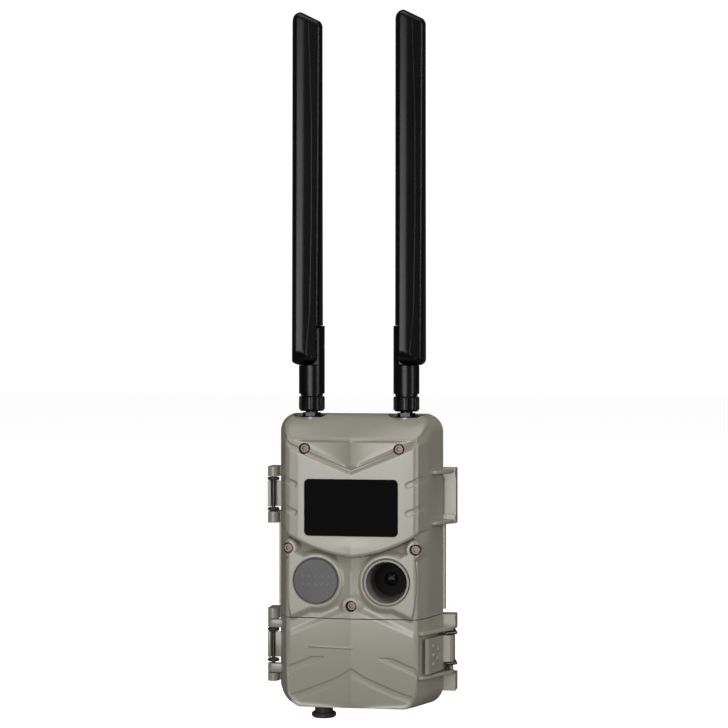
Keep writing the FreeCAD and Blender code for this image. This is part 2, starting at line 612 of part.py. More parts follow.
def make_ports():
    """SMA jacks through the roof with their hexagon nuts and washers."""
    jacks = []
    washers = []
    nuts = []
    for name, sign in antenna_sides():
        x = f"{sign}ant_x"
        at = (x, "ant_y", up("0"))
        jacks.append(turned(f"jack_{name}", (
            ("0", "jack_low"), ("jack_radius", "jack_low"), ("jack_radius", "boss_low - jack_collar"),
            ("jack_radius + 1.9", "boss_low - jack_collar"), ("jack_radius + 1.9", "boss_low"),
            ("jack_radius", "boss_low"), ("jack_radius", "jack_top"), ("jack_bore", "jack_top"),
            ("jack_bore", "jack_top - jack_open"), ("0", "jack_top - jack_open")), UPRIGHT, at))
        washers.append(turned(f"washer_{name}", (
            ("jack_radius", "port_floor"), ("washer", "port_floor"),
            ("washer", "port_floor + washer_high"), ("jack_radius", "port_floor + washer_high")),
            UPRIGHT, at))
        nut_floor = "floor + port_floor + washer_high"
        nut = doc.addObject("PartDesign::Body", f"hexnut_{name}")
        sketch = body_sketch(nut, "XY_Plane", "0")
        flat = "hexnut * 0.866"
        draw_polygon(sketch, (("hexnut", "0"), ("hexnut * 0.5", flat), ("-hexnut * 0.5", flat),
                              ("-hexnut", "0"), ("-hexnut * 0.5", f"-{flat}"),
                              ("hexnut * 0.5", f"-{flat}")))
        add_pad(nut, sketch, "hexnut_high")
        place(nut, (x, "ant_y", nut_floor))
        hole = rod(f"hexnut_hole_{name}", "Z", (x, "ant_y", nut_floor), "hexnut_high", "jack_radius")
        nuts.append(cut(f"hexnut_cut_{name}", nut, hole))
    group("antenna_jacks", jacks)
    group("jack_washers", washers)
    group("jack_nuts", nuts)


def make_antenna(name, sign):
    """One paddle antenna; sign is the side of the body that it stands on."""
    inn = "" if sign else "-"           # the side of the ear, towards the body's middle
    x = f"{sign}ant_x"
    at = (x, "ant_y", up("0"))
    nut = turned(f"antenna_nut_{name}", (
        ("nut_bore", "nut_low"), ("nut_radius - 1", "nut_low"), ("nut_radius", "nut_low + 1"),
        ("nut_radius", "nut_high - 0.5"), ("nut_radius - 0.5", "nut_high"), ("nut_bore", "nut_high")),
        UPRIGHT, at)
    groove = body_sketch(nut, "XY_Plane", "nut_low - 1")
    draw_polygon(groove, (("nut_radius - knurl_radius", "0"), ("nut_radius + 0.4", "-knurl_radius * 1.6"),
                          ("nut_radius + 0.4", "knurl_radius * 1.6")))
    notch = add_pocket(nut, groove, "nut_high - nut_low + 2", reverse=True)
    knurl = nut.newObject("PartDesign::PolarPattern", f"knurl_{name}")
    knurl.Originals = [notch]
    knurl.Axis = (next(f for f in nut.Origin.OriginFeatures if f.Role == "Z_Axis"), [""])
    knurl.Angle = 360
    knurl.Occurrences = 30
    nut.Tip = knurl
    keep(nut, f"antenna_nut_{name}")

    post = turned(f"knuckle_post_{name}", (
        ("0", "jack_top + 0.2"), ("stem_radius", "jack_top + 0.2"), ("stem_radius", "nut_high + neck_gap"),
        ("nut_radius - neck_cut", "nut_high + neck_gap"), ("nut_radius - neck_cut", "nut_high + neck_high"),
        ("nut_radius", "nut_high + neck_high"), ("nut_radius", "pivot_z - lobe - lobe_gap"),
        ("0", "pivot_z - lobe - lobe_gap")), UPRIGHT, at)
    ear_zone = block(f"ear_zone_{name}", *sorted_box(inn, x, "split", "nut_radius", up("pivot_z - 14"),
                                                     up("knuckle_top")))
    tall = rod(f"ear_tall_{name}", "Z", (x, "ant_y", up("pivot_z - 12")),
               "knuckle_top - pivot_z + 12", "nut_radius")
    crown = union(f"ear_crown_{name}",
                  rod(f"ear_round_{name}", "X", (f"{x} - 10", "ant_y", up("pivot_z")), "20",
                      "knuckle_top - pivot_z"),
                  block(f"ear_low_{name}", (f"{x} - 10", "ant_y - 10", up("pivot_z - 12")),
                        (f"{x} + 10", "ant_y + 10", up("pivot_z"))))
    ear = common(f"ear_{name}", ear_zone, tall, crown)
    hole = rod(f"ear_hole_{name}", "X", (f"{x} - 10", "ant_y", up("pivot_z")), "20", "tilt_pin")
    keep(cut(f"antenna_knuckle_{name}", union(f"knuckle_solid_{name}", post, ear), hole),
         f"antenna_knuckle_{name}")
    keep(rod(f"tilt_rod_{name}", "X", (f"{x} - nut_radius + 0.2", "ant_y", up("pivot_z")),
             "2 * nut_radius - 0.4", "tilt_pin"), f"antenna_pin_{name}")

    sides = ("-blade_out", "blade_in") if sign else ("-blade_in", "blade_out")
    sections = [level(f"blade_{tag}_{name}", up(z), (f"{x} + {sides[0]}", f"ant_y - {half}"),
                      (f"{x} + {sides[1]}", f"ant_y + {half}"), "blade_round")
                for tag, z, half in (("low", "pivot_z", "half_low"), ("mid", "blade_mid", "half_mid"),
                                     ("top", "blade_top", "half_top"))]
    stick = loft(f"blade_stick_{name}", *sections)
    # the heel is round in front, and its square rear corner stops the blade when it stands upright
    column = plate(f"blade_column_{name}", "XY_Plane", up("pivot_z - lobe"), "lobe",
                   (f"{x} + {sides[0]}", "ant_y - half_low"), (f"{x} + {sides[1]}", "ant_y + half_low"),
                   "blade_round")
    stop = block(f"blade_stop_{name}", (f"{x} + {sides[0]}", "ant_y", up("pivot_z - lobe")),
                 (f"{x} + {sides[1]}", "ant_y + half_low", up("pivot_z")))
    heel_rod = rod(f"blade_heel_rod_{name}", "X", (f"{x} + {sides[0]}", "ant_y", up("pivot_z")),
                   "blade_in + blade_out", "lobe")
    heel = common(f"blade_heel_{name}", column, union(f"blade_heel_form_{name}", heel_rod, stop))
    outline = plate(f"blade_outline_{name}", "XZ_Plane", "-ant_y - 12", "24",
                    (f"{x} + {sides[0]}", up("pivot_z - lobe")), (f"{x} + {sides[1]}", up("blade_top")),
                    "blade_corner")
    inner = f"{x} - (split - 0.3)" if inn else f"{x} + split - 0.3"
    corner = prism(f"blade_corner_{name}", "XZ_Plane", "-ant_y - 12", "24",
                   ((inner, up("pivot_z - lobe + heel_rise")),
                    (f"{inner} + {inn}(1)", up("pivot_z - lobe + heel_rise")),
                    (f"{inner} + {inn}(1)", up("pivot_z - lobe - 1")),
                    (f"{inner} - {inn}(heel_in)", up("pivot_z - lobe - 1")),
                    (f"{inner} - {inn}(heel_in)", up("pivot_z - lobe"))))
    tip = prism(f"blade_tip_{name}", "XZ_Plane", "-ant_y - 12", "24",
                ((f"{x} + {sides[0]} + 4", up("blade_top")), (f"{x} + {sides[1]} + 1",
                 up("blade_top - blade_slant")), (f"{x} + {sides[1]} + 1", up("blade_top + 3")),
                 (f"{x} + {sides[0]} + 4", up("blade_top + 3"))))
    slot = block(f"blade_slot_{name}", *sorted_box(inn, x, "split - 0.3", "14", up("pivot_z - lobe - 1"),
                                                   up("pivot_z + ear_slot")))
    bore = rod(f"blade_bore_{name}", "X", (f"{x} - nut_radius - 0.1", "ant_y", up("pivot_z")),
               "2 * nut_radius + 0.2", "tilt_pin + pin_fit")
    solid = common(f"blade_body_{name}", union(f"blade_solid_{name}", stick, heel), outline)
    keep(cut(f"antenna_blade_{name}", solid, tip, slot, bore, corner), f"antenna_blade_{name}")


def sorted_box(side, x, near, far, z_low, z_high):
    """Box corners from near to far on one side of x, deep enough for any knuckle."""
    if side == "-":
        return (f"{x} - ({far})", "ant_y - 12", z_low), (f"{x} - ({near})", "ant_y + 12", z_high)
    return (f"{x} + {near}", "ant_y - 12", z_low), (f"{x} + {far}", "ant_y + 12", z_high)


def make_door():
    zone = slab("door_zone", "-100", "seam - door_gap", LOW_Z, up("door_top"))
    skin = hollow("door_wall", zone)
    roof = common("door_roof", OUTER, slab("door_roof_zone", "-100", "seam - door_gap",
                                            up("door_top - wall + 0.7"), up("door_top")))
    ears = hinge_ears("door_ear", (("door_ear_a", "door_ear_b"), ("door_ear_c", "door_ear_d")),
                      "hinge_y - ear_radius", "seam - door_gap")
    guard = hinge_guard("door_guard", "", "seam - door_gap")
    shelves = [prism(f"door_shelf{number}", "XY_Plane", up(z), "shelf_thick",
                     (("half_seam - wall - 1", "seam - door_gap"), ("half_front - 0.8", "-60.6"),
                      ("half_front + 1.7", "-61.2"), ("bracket_half - 4.2", "-44.5"),
                      ("bracket_half - 0.4", "-39"), ("bracket_half - 0.4", "seam - door_gap")))
               for number, z in enumerate(("shelf_low", "shelf_high"))]
    solid = union("door_solid", skin, roof, *ears, *guard, *shelves)
    pin = rod("door_pin_hole", "Z", ("latch_x", "latch_y", up("shelf_low - 1")),
              "shelf_high - shelf_low + 4", "latch_pin")
    keep(cut("door", solid, pin, wire_holes("door_wire_hole")), "door")


def make_hinges():
    wires = []
    rings = []
    for name, low, high, lift in (("lower", "low_ear_a", "low_ear_d", "0"),
                                  ("upper", "up_ear_a", "up_ear_d", "upper_lift")):
        wires.append(rod(f"hinge_wire_{name}", "Z", ("hinge_x", "hinge_y", up(f"{low} + 0.4")),
                         f"{high} - {low} - 0.8", "hinge_wire"))
        for end in ("ring_low", "ring_high"):
            rings.append(ring(f"ring_{name}_{end}", ("hinge_x", "hinge_y", up(f"{end} + {lift}")),
                              "ring_orbit", "hinge_wire"))
    group("hinge_wires", wires)
    group("hinge_rings", rings)


def side_x(y_text):
    """X of the shell's right side at a depth in front of the seam."""
    return f"(half_seam + ({y_text} - seam) * (half_seam - half_front) / (depth + seam))"


def make_latch():
    inner = "grip_gap"
    outer = "grip_gap + grip_thick"
    grip = prism("grip", "XY_Plane", up("grip_low"), "grip_high - grip_low", (
        (f"{side_x('grip_front')} + {inner}", "grip_front"),
        (f"{side_x('grip_front')} + {outer} - 0.3", "grip_front - 0.6"),
        (f"{side_x('grip_back')} + {outer}", "grip_back"),
        (f"{side_x('grip_back')} + {outer}", "grip_back + 1"),
        (f"{side_x('grip_back')} + {inner}", "grip_back + 1")))
    web = prism("latch_web", "XY_Plane", up("web_low"), "web_high - web_low", (
        ("latch_x - 1.7", "grip_back + 0.2"), ("bracket_half - 1.6", "grip_back + 0.2"),
        ("bracket_half - 0.2", "grip_back + 2"), ("bracket_half - 0.2", "latch_y + 0.6"),
        ("latch_x + 2.2", "latch_y + 1.2"), ("latch_x - 1.7", "latch_y + 1.2")))
    hub = rod("latch_hub", "Z", ("latch_x", "latch_y", up("grip_low")), "grip_high - grip_low", "2.1")
    hub_arm = common("hub_arm", hub, block("hub_zone", ("latch_x - 3", "latch_y - 3", up("web_low")),
                                            ("latch_x + 3", "latch_y + 3", up("web_high"))))
    holes = [rod("latch_hole", "Z", ("latch_x", "latch_y", up("0")), "50", "latch_pin + pin_fit"),
             rod("bail_hole", "Z", ("bail_x", "bail_y", up("0")), "50", "hinge_wire + 0.08")]
    keep(cut("latch_lever", union("lever_solid", grip, web, hub_arm), *holes), "latch_lever")
    keep(rod("latch_pin_rod", "Z", ("latch_x", "latch_y", up("shelf_low + 0.2")),
             "shelf_high - shelf_low + shelf_thick - 0.4", "latch_pin"), "latch_pin")
    pieces = []
    for level_name, height, tail in (("low", "bail_low", "0"), ("high", "bail_high", "-bail_tail")):
        z = up(height)
        path = (("bail_x", "bail_y"), ("bail_out", "bail_out_y"), ("bar_x", "bar_y"))
        for number, ((x_a, y_a), (x_b, y_b)) in enumerate(zip(path, path[1:])):
            pieces.append(straight_wire(f"bail_{level_name}{number}", (x_a, y_a, z), (x_b, y_b, z)))
        for number, (x, y) in enumerate(path):
            pieces.append(ball(f"bail_ball_{level_name}{number}", (x, y, z), "hinge_wire"))
        pieces.append(rod(f"bail_tail_{level_name}", "Z", ("bail_x", "bail_y", f"{z} + {tail}"),
                          "bail_tail", "hinge_wire"))
    pieces.append(rod("bail_bar", "Z", ("bar_x", "bar_y", up("bail_low")), "bail_high - bail_low",
                      "hinge_wire"))
    keep(union("latch_bail", *pieces), "latch_bail")


def straight_wire(name, start, end):
    """A round wire between two points at one height."""
    first = Vector(*(measure(text) for text in start))
    last = Vector(*(measure(text) for text in end))
    item = doc.addObject("Part::Cylinder", name)
    item.Placement = FreeCAD.Placement(Vector(), Rotation(Vector(0, 0, 1), last - first))
    bind(item, "Radius", "hinge_wire")
    bind(item, "Height", f"sqrt((({end[0]}) - ({start[0]})) ^ 2 + (({end[1]}) - ({start[1]})) ^ 2)")
    place(item, start)
    return item


def make_battery_bay():
    centres = [(f"cell_first_x + {column} * cell_pitch", up(f"cell_first_z + {row} * cell_pitch"))
               for row in range(2) for column in range(3)]
    cells = [turned(f"cell{number}", (
        ("0", "0"), ("cell_radius - 0.5", "0"), ("cell_radius", "0.5"),
        ("cell_radius", "cell_long - 1.9"), ("cell_radius - 0.6", "cell_long - 1.4"),
        ("2.7", "cell_long - 1.4"), ("2.7", "cell_long"), ("0", "cell_long")),
        FORWARD, (x, "cell_front + cell_long", z)) for number, (x, z) in enumerate(centres)]
    group("batteries", cells)
    body = block("tray_block", ("tray_left", "tray_front", up("tray_low")),
                 ("tray_right", "tray_back", up("tray_high")))
    bores = [rod(f"tray_bore{number}", "Y", (x, "tray_front - 1", z), "tray_back - tray_front + 2",
                 "cell_bore") for number, (x, z) in enumerate(centres)]
    keep(cut("battery_tray", common("tray_form", body, blank("tray_limit", "inner_gap")), *bores),
         "battery_tray")
    keep(common("battery_contacts", block("contact_block", ("tray_left", "-3.1", up("tray_low")),
                                          ("tray_right", "-3.1 + contact", up("tray_high"))),
                INNER), "battery_contacts")
    springs = [turned(f"cell_spring{number}", (
        ("0", "0"), ("spring_radius", "0"), ("spring_radius", "0.6"), ("spring_radius - 0.9", "1.2"),
        ("spring_radius - 1.2", "2.2"), ("0", "2.9")), FORWARD, (x, "-3.1", z))
        for number, (x, z) in enumerate(centres)]
    group("battery_springs", springs)


def make_panel():
    face = "-panel_front"
    base = plate("panel_plate", "XZ_Plane", f"{face} - panel_thick", "panel_thick",
                 ("panel_left", up("panel_low")), ("panel_right", up("panel_high")), "1.5")
    low = "card_z + slot_high / 2 + 0.6"
    box = block("panel_box", ("panel_left + 2.6", "panel_front + panel_thick", up(low)),
                ("panel_right - 0.4", "panel_rear", up("panel_high - 0.4")))
    well = block("panel_well", ("panel_left + 2.6 + panel_shell", "panel_front", up(f"{low} + panel_shell")),
                 ("panel_right - 0.4 - panel_shell", "panel_rear - panel_shell",
                  up("panel_high - 0.4 - panel_shell")))
    window = block("panel_window", ("lcd_left", "panel_front - 1", up("lcd_low")),
                   ("lcd_right", "panel_front + panel_thick", up("lcd_high")))
    slot = block("panel_slot", ("card_left - 0.2", "panel_front - 1", up("card_z - 0.9")),
                 ("card_left + card_wide + 0.2", "panel_front + panel_thick", up("card_z + 0.9")))
    holes = [rod(f"button_hole{number}", "Y", (x, "panel_front - 1", up(z)), "panel_thick + 2",
                 "button_hole") for number, (_, x, z) in enumerate(button_places())]
    shell = cut("panel_shell", box, well)
    keep(cut("control_panel", union("panel_solid", base, shell), window, slot, *holes),
         "control_panel")
    keep(block("lcd", ("lcd_left", "panel_front + 0.6", up("lcd_low")),
               ("lcd_right", "panel_front + panel_thick", up("lcd_high"))), "lcd_display")
    for name, x, z in button_places():
        keep(turned(f"{name}_button", (
            ("0", "-button_in"), ("button_flange", "-button_in"), ("button_flange", "-button_in + 0.5"),
            ("button_radius", "-button_in + 0.5"), ("button_radius", "button_out - 0.3"),
            ("button_radius - 0.3", "button_out"), ("0", "button_out")),
            FORWARD, (x, "panel_front", up(z))), f"{name}_button")
    socket = block("slot_block", ("card_left - 1.2", "panel_front + panel_thick + 0.2",
                                  up("card_z - slot_high / 2")),
                   ("card_left - 1.2 + slot_wide", "panel_front + panel_thick + slot_deep + 2",
                    up("card_z + slot_high / 2")))
    mouth = block("slot_mouth", ("card_left - 0.15", "panel_front", up("card_z - card_thick / 2 - 0.15")),
                  ("card_left + card_wide + 0.15", "panel_front + card_long",
                   up("card_z + card_thick / 2 + 0.15")))
    keep(cut("card_slot", socket, mouth), "card_slot")
    keep(prism("card", "XY_Plane", up("card_z - card_thick / 2"), "card_thick", (
        ("card_left", "panel_front - card_out"), ("card_left + card_wide", "panel_front - card_out"),
        ("card_left + card_wide", "panel_front - card_out + card_long - 1.6"),
        ("card_left + card_wide - 1.6", "panel_front - card_out + card_long"),
        ("card_left", "panel_front - card_out + card_long"))), "memory_card")


def button_places():
    return (("menu", "button_left", "button_high"), ("up", "button_right", "button_high"),
            ("ok", "button_left", "button_low"), ("down", "button_right", "button_low"))


def make_power():
    """Low-voltage jack in the floor of the rear housing, closed by a rubber plug."""
    at = ("jack_x", "jack_y", up("0"))
    keep(turned("power_jack", (
        ("power_bore", "-power_low"), ("power_radius", "-power_low"), ("power_radius", "power_top"),
        ("0", "power_top"), ("0", "power_top - 1"), ("power_bore", "power_top - 1")), UPRIGHT, at),
        "power_jack")
    keep(turned("power_plug", (
        ("0", "-plug_low"), ("plug_flange - 0.8", "-plug_low"), ("plug_flange", "-plug_low + 0.8"),
        ("plug_flange", "-plug_low + plug_thick - 0.6"), ("plug_flange - 0.6", "-plug_low + plug_thick"),
        ("plug_neck", "-plug_low + plug_thick"), ("plug_neck", "-power_low - 0.2"),
        ("plug_stem", "-power_low - 0.2"), ("plug_stem", "plug_stem_top - 0.6"),
        ("plug_stem - 0.6", "plug_stem_top"), ("0", "plug_stem_top")), UPRIGHT, at), "power_plug")


def make_back():
    """Brass tripod insert and the two brackets that a mounting strap passes through."""
    keep(turned("insert", (
        ("insert_bore", "0"), ("insert_outer", "0"), ("insert_outer", "insert_deep"),
        ("insert_bore", "insert_deep")), FORWARD, ("0", "0", "0")), "tripod_insert")
    brackets = []
    for name, x in (("left", "-strap_x"), ("right", "strap_x")):
        bar = block(f"strap_block_{name}", (f"{x} - strap_wide / 2", "0", "-strap_high / 2"),
                    (f"{x} + strap_wide / 2", "strap_out", "strap_high / 2"))
        gap = block(f"strap_slot_{name}", (f"{x} - strap_wide", "strap_out - strap_skin - strap_gap",
                                           "-strap_slot / 2"),
                    (f"{x} + strap_wide", "strap_out - strap_skin", "strap_slot / 2"))
        brackets.append(cut(f"strap_bracket_{name}", bar, gap))
    group("strap_brackets", brackets)


def check_and_export():
    doc.recompute()
    for item in doc.Objects:
        if "Invalid" in item.State or "Error" in item.State:
            raise RuntimeError(f"{item.Name} failed: {item.State}")
    for item in SUB_PARTS:
        if item.Shape.isNull() or not item.Shape.isValid():
            raise RuntimeError(f"{item.Label} has no valid shape")
    os.makedirs("parts", exist_ok=True)
    for item in SUB_PARTS:
        item.Shape.exportStep(f"parts/{item.Label}.step")
        print(item.Label, len(item.Shape.Solids), round(item.Shape.Volume, 1))


make_rear_housing()
make_front_housing()
make_seals()
make_window()
make_leds()
make_pir()
make_lens()
make_boards()
make_screws()
make_ports()
for antenna_name, antenna_sign in antenna_sides():
    make_antenna(antenna_name, antenna_sign)
make_door()
make_hinges()
make_latch()
make_battery_bay()
make_panel()
make_power()
make_back()
check_and_export()
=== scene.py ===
"""Trail camera looks: moulded shells, optics, latch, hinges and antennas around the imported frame."""
import json
import math
import bpy
import bmesh
import numpy as np
from mathutils import Matrix, Vector


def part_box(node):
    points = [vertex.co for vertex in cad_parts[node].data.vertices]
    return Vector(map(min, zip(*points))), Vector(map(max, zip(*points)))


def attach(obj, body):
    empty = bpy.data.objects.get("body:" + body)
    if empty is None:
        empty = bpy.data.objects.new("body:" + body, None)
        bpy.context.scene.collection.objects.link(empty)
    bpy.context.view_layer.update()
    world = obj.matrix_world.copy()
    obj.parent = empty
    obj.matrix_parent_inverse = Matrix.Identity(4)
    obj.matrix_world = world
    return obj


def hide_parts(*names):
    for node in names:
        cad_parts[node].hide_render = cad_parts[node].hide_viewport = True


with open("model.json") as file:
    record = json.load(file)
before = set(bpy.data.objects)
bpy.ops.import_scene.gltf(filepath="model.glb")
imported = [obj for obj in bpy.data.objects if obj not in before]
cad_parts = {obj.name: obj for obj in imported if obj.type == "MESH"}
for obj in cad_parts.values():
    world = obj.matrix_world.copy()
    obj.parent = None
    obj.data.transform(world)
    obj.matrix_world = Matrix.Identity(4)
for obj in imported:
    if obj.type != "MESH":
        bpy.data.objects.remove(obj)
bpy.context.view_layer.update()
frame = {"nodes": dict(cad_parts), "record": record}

# Sizes are in mm. Heights are above the body's floor, and x is from its middle plane.
MM = 0.001
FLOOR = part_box("door")[0].z / MM          # the body's floor
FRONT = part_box("door")[0].y / MM          # front plane
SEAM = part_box("front_housing")[1].y / MM  # plane where front and rear housings meet
DEPTH = SEAM - FRONT
HEIGHT = 144.0
HALF_FRONT = 33.4      # half width at the front plane
HALF_SEAM = 41.2       # half width at the seam
DRAFT = (HALF_SEAM - HALF_FRONT) / DEPTH
CORNER = 9.0           # radius of the front's four corners
EDGE = 3.0             # radius of the front edge
LIFT = 1.2             # the front's lower edge is this far above the floor
BROW = 131.6           # height where the brow starts to slope back
BROW_RUN = 20.0        # how far back the brow has sloped at the roof
DOOR_TOP = 44.7
HOUSING_LOW = 45.1
DOOR_BACK = SEAM - 0.35
EYE_X = 17.6           # the sensor and the lens, one on each side
EYE_Z = 63.0
SCREWS = ((-23.4, 127.6), (23.4, 127.6), (-31.5, 78.9), (31.5, 78.9), (0, 51))
ANTENNAS = (("left", -23.85), ("right", 23.85))


# ------------------------------------------------------------------ small helpers
def smooth(low, high, value):
    """A soft step: 0 at low, 1 at high."""
    t = np.clip((value - low) / (high - low), 0, 1)
    return t * t * (3 - 2 * t)


def new_object(name, mesh, body, material, smooth_angle=35):
    """A piece that rides a body and belongs to one of its material slots."""
    piece = bpy.data.objects.new(name, mesh)
    bpy.context.scene.collection.objects.link(piece)
    mesh.materials.clear()
    mesh.materials.append(material)
    mesh.shade_smooth()
    mesh.set_sharp_from_angle(angle=math.radians(smooth_angle))
    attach(piece, body)
    return piece


def mesh_from_bmesh(name, bm):
    """A mesh with outward normals; frees the bmesh."""
    bmesh.ops.recalc_face_normals(bm, faces=bm.faces)
    mesh = bpy.data.meshes.new(name)
    bm.to_mesh(mesh)
    bm.free()
    return mesh


def carve(mesh, cutter_mesh):
    """The mesh after an exact boolean difference; both meshes are in the scene's own frame."""
    base = bpy.data.objects.new("carve_base", mesh)
    tool = bpy.data.objects.new("carve_tool", cutter_mesh)
    for item in (base, tool):
        bpy.context.scene.collection.objects.link(item)
    modifier = base.modifiers.new("carve", "BOOLEAN")
    modifier.operation = "DIFFERENCE"
    modifier.solver = "EXACT"
    modifier.object = tool
    graph = bpy.context.evaluated_depsgraph_get()
    result = bpy.data.meshes.new_from_object(base.evaluated_get(graph))
    for item in (base, tool):
        bpy.data.objects.remove(item)
    return result


def add_prism(bm, first, second):
    """Join two matching rings of points, in mm, into a closed prism."""
    rings = [[bm.verts.new(Vector(point) * MM) for point in ring] for ring in (first, second)]
    bm.faces.new(rings[0])
    bm.faces.new(rings[1][::-1])
    for index in range(len(rings[0])):
        after = (index + 1) % len(rings[0])
        bm.faces.new((rings[0][after], rings[0][index], rings[1][index], rings[1][after]))


def arc_points(cx, cy, radius, start, end, steps=10):
    """Points of an arc round (cx, cy), from the start angle to the end angle in degrees."""
    angles = [math.radians(start + (end - start) * step / steps) for step in range(steps + 1)]
    return [(cx + radius * math.cos(angle), cy + radius * math.sin(angle)) for angle in angles]


def rounded_rectangle(low, high, radius):
    """Outline of a rectangle between two corner points, with round corners."""
    left, right = low[0] + radius, high[0] - radius
    bottom, top = low[1] + radius, high[1] - radius
    outline = []
    for cx, cz, start in ((right, bottom, -90), (right, top, 0), (left, top, 90), (left, bottom, 180)):
        outline += arc_points(cx, cz, radius, start, start + 90, 8)
    return outline


# ------------------------------------------------------------------ relief of the front
def segment_distance(x, z, start, end):
    """Distance of each point from a straight segment."""
    ax, az = start
    dx, dz = end[0] - ax, end[1] - az
    t = np.clip(((x - ax) * dx + (z - az) * dz) / (dx * dx + dz * dz), 0, 1)
    return np.hypot(x - ax - t * dx, z - az - t * dz)


VEE_TIP = 117.7                     # lowest point of the V groove under the brow panel
VEE_END = 35.2                      # the groove fades out from here
SLOT_HEIGHTS = (110.2, 96.4)        # two slots on each flank
SLOT_INNER = 28.2                   # each slot runs outwards from here
SLOT_OUTER = 34.7
SLOT_RISE = 2.6                     # and rises by this much
SLOT_RADIUS = 1.5
VISOR_TIP = 74.9                    # lowest point of the visor over the eyes
CHEEK_X = 33.2                      # outer edge of a cheek, at the height CHEEK_Z
CHEEK_Z = 63.5
CHIN_TIP = 52.6                     # where the two valleys above the chin meet
LEAN_TOP = 46                       # the front leans back below this height
MARK_Z = 31.0                       # a raised bar on the door


def visor_edge(x):
    """Height of the visor's lower edge."""
    return VISOR_TIP + 0.08 * x + x * x / 125


def plateau(x, z):
    """1 on the cheeks round the two eyes, on the nose and on the screw bosses, 0 in the recess between."""
    disc = 1 - smooth(12.6, 15.6, np.hypot(x - EYE_X, z - EYE_Z))
    cheek_edge = CHEEK_X - (z - CHEEK_Z) ** 2 / 116
    cheek = smooth(EYE_X - 5, EYE_X, x) * (1 - smooth(-1.0, 0.6, x - cheek_edge))
    cheek = cheek * (1 - smooth(-1.2, 1.6, z - 74.7 - 0.5 * (x - 22.6)))
    cheek = cheek * smooth(-1.6, 1.6, z - 58 + 0.447 * x)
    nose = 0.9 * np.clip(1 - x / 8.5, 0, 1) * smooth(50, 57, z)
    side_screw, low_screw = SCREWS[3], SCREWS[4]
    low_boss = 1 - smooth(3.9, 6.0, np.hypot(x - low_screw[0], z - low_screw[1]))
    side_boss = 1 - smooth(3.8, 6.2, np.hypot(x - side_screw[0], z - side_screw[1]))
    return np.maximum.reduce((disc, cheek, nose, low_boss, side_boss))


def upper_relief(x, z):
    """Depth of the brow panel, the window's surround and the visor."""
    below_vee = VEE_TIP + 0.385 * x + 0.0012 * x * x - z
    window_part = smooth(-4, 4, below_vee)
    surface = 0.6 + x * (0.01 + 0.05 * (1 - window_part)) + 0.085 * np.maximum(x - 26, 0) * window_part
    # a keel in the middle of the brow panel, and a softer one on the visor
    panel = smooth(-0.4, -1.4, below_vee)
    keel = 1.5 * panel * (1 - np.exp(-x / 9)) - 0.6 * panel * np.exp(-x / 9)
    keel = keel - 0.6 * (1 - smooth(79, 84.5, z)) * np.exp(-x / 6)
    vee = 0.85 * smooth(0, 0.36, below_vee) * (1 - smooth(0.9, 2.9, below_vee))
    vee = vee * (1 - smooth(VEE_END, VEE_END + 0.5, x))
    slots = np.zeros_like(x)
    for height in SLOT_HEIGHTS:
        gap = segment_distance(x, z, (SLOT_INNER, height), (SLOT_OUTER, height + SLOT_RISE)) - SLOT_RADIUS
        slots += 0.6 * (1 - smooth(-0.36, 0.0, gap))
    # the visor is slightly rolled under at its lower edge
    roll = 0.4 * (1 - smooth(0, 1.5, z - visor_edge(x))) ** 2
    return surface + keel + vee + slots + roll


def lower_relief(x, z):
    """Depth of the cove below the visor, the cheeks, the chin and the door's ground."""
    below_visor = np.maximum(visor_edge(x) - z, 0)
    cove = 1.5 + 4.6 * np.exp(-below_visor / 4.5)
    face = 0.55 + 0.018 * x + cove * (1 - plateau(x, z))
    # raised chin between the two valleys that run from the nose to the lower corners
    chin = 0.5 + 0.03 * x + 0.8 * (1 - np.exp(-x / 10))
    chin_part = smooth(-0.4, 3.4, CHIN_TIP - 0.44 * x - z)
    lean = 0.001 * np.clip(LEAN_TOP - z, 0, LEAN_TOP) ** 2
    return face * (1 - chin_part) + chin * chin_part + lean


def relief(x, z):
    """Depth in mm below the front plane, for a point of the front face; x is not negative."""
    lower_part = smooth(0, 0.55, visor_edge(x) - z)
    return upper_relief(x, z) * (1 - lower_part) + lower_relief(x, z) * lower_part


def door_relief(x, z):
    """Engraving of the door, added to relief(): a chevron, two side arms and a plain raised bar."""
    side = np.abs(x)
    upper = np.interp(side, (0, 7, 14.4, 25.1, 31.5, 36), (20.9, 16.4, 13.2, 8.9, 7.0, 5.8))
    lower = np.interp(side, (0, 10, 21, 32, 36), (16.8, 11.4, 6.7, 3.3, 2.4))
    chevron = 0.55 * smooth(0, 0.5, upper - z) * smooth(0, 0.7, z - lower)
    upper = np.interp(side, (12.8, 20, 27.4, 34), (26.3, 26.2, 22.8, 20.7))
    lower = np.interp(side, (12.8, 20.4, 32, 36), (26.1, 22.0, 17.6, 16.3))
    arms = 0.5 * smooth(0, 0.45, upper - z) * smooth(0, 0.6, z - lower)
    arms = arms * smooth(12.6, 13.0, side) * (1 - smooth(33.2, 33.8, side))
    bar = -0.4 * (1 - smooth(0.25, 0.7, segment_distance(x, z, (-20.5, MARK_Z), (0.5, MARK_Z - 0.2))))
    return chevron + arms + bar


# ------------------------------------------------------------------ the shell as a bent grid
FINE = 0.36      # grid spacing on the front, small enough for the engraved lines
WALL = 31.0      # length of the wall on the grid's own scale


def brow_depth(z):
    """Depth of the front surface caused by the sloping brow, with a softened start."""
    rise = np.maximum(z - BROW, 0)
    soft = np.sqrt(rise * rise + 1.0) - 1.0
    return soft * BROW_RUN / (HEIGHT - BROW)


def wall_rows():
    """Distances past the front edge: close together on the round edge, further apart on the wall."""
    return np.array([0.35, 0.8, 1.3, 1.9, 2.6, 3.4, 4.4, 6, 8, 11, 14, 18, 22, 26, 29, WALL])


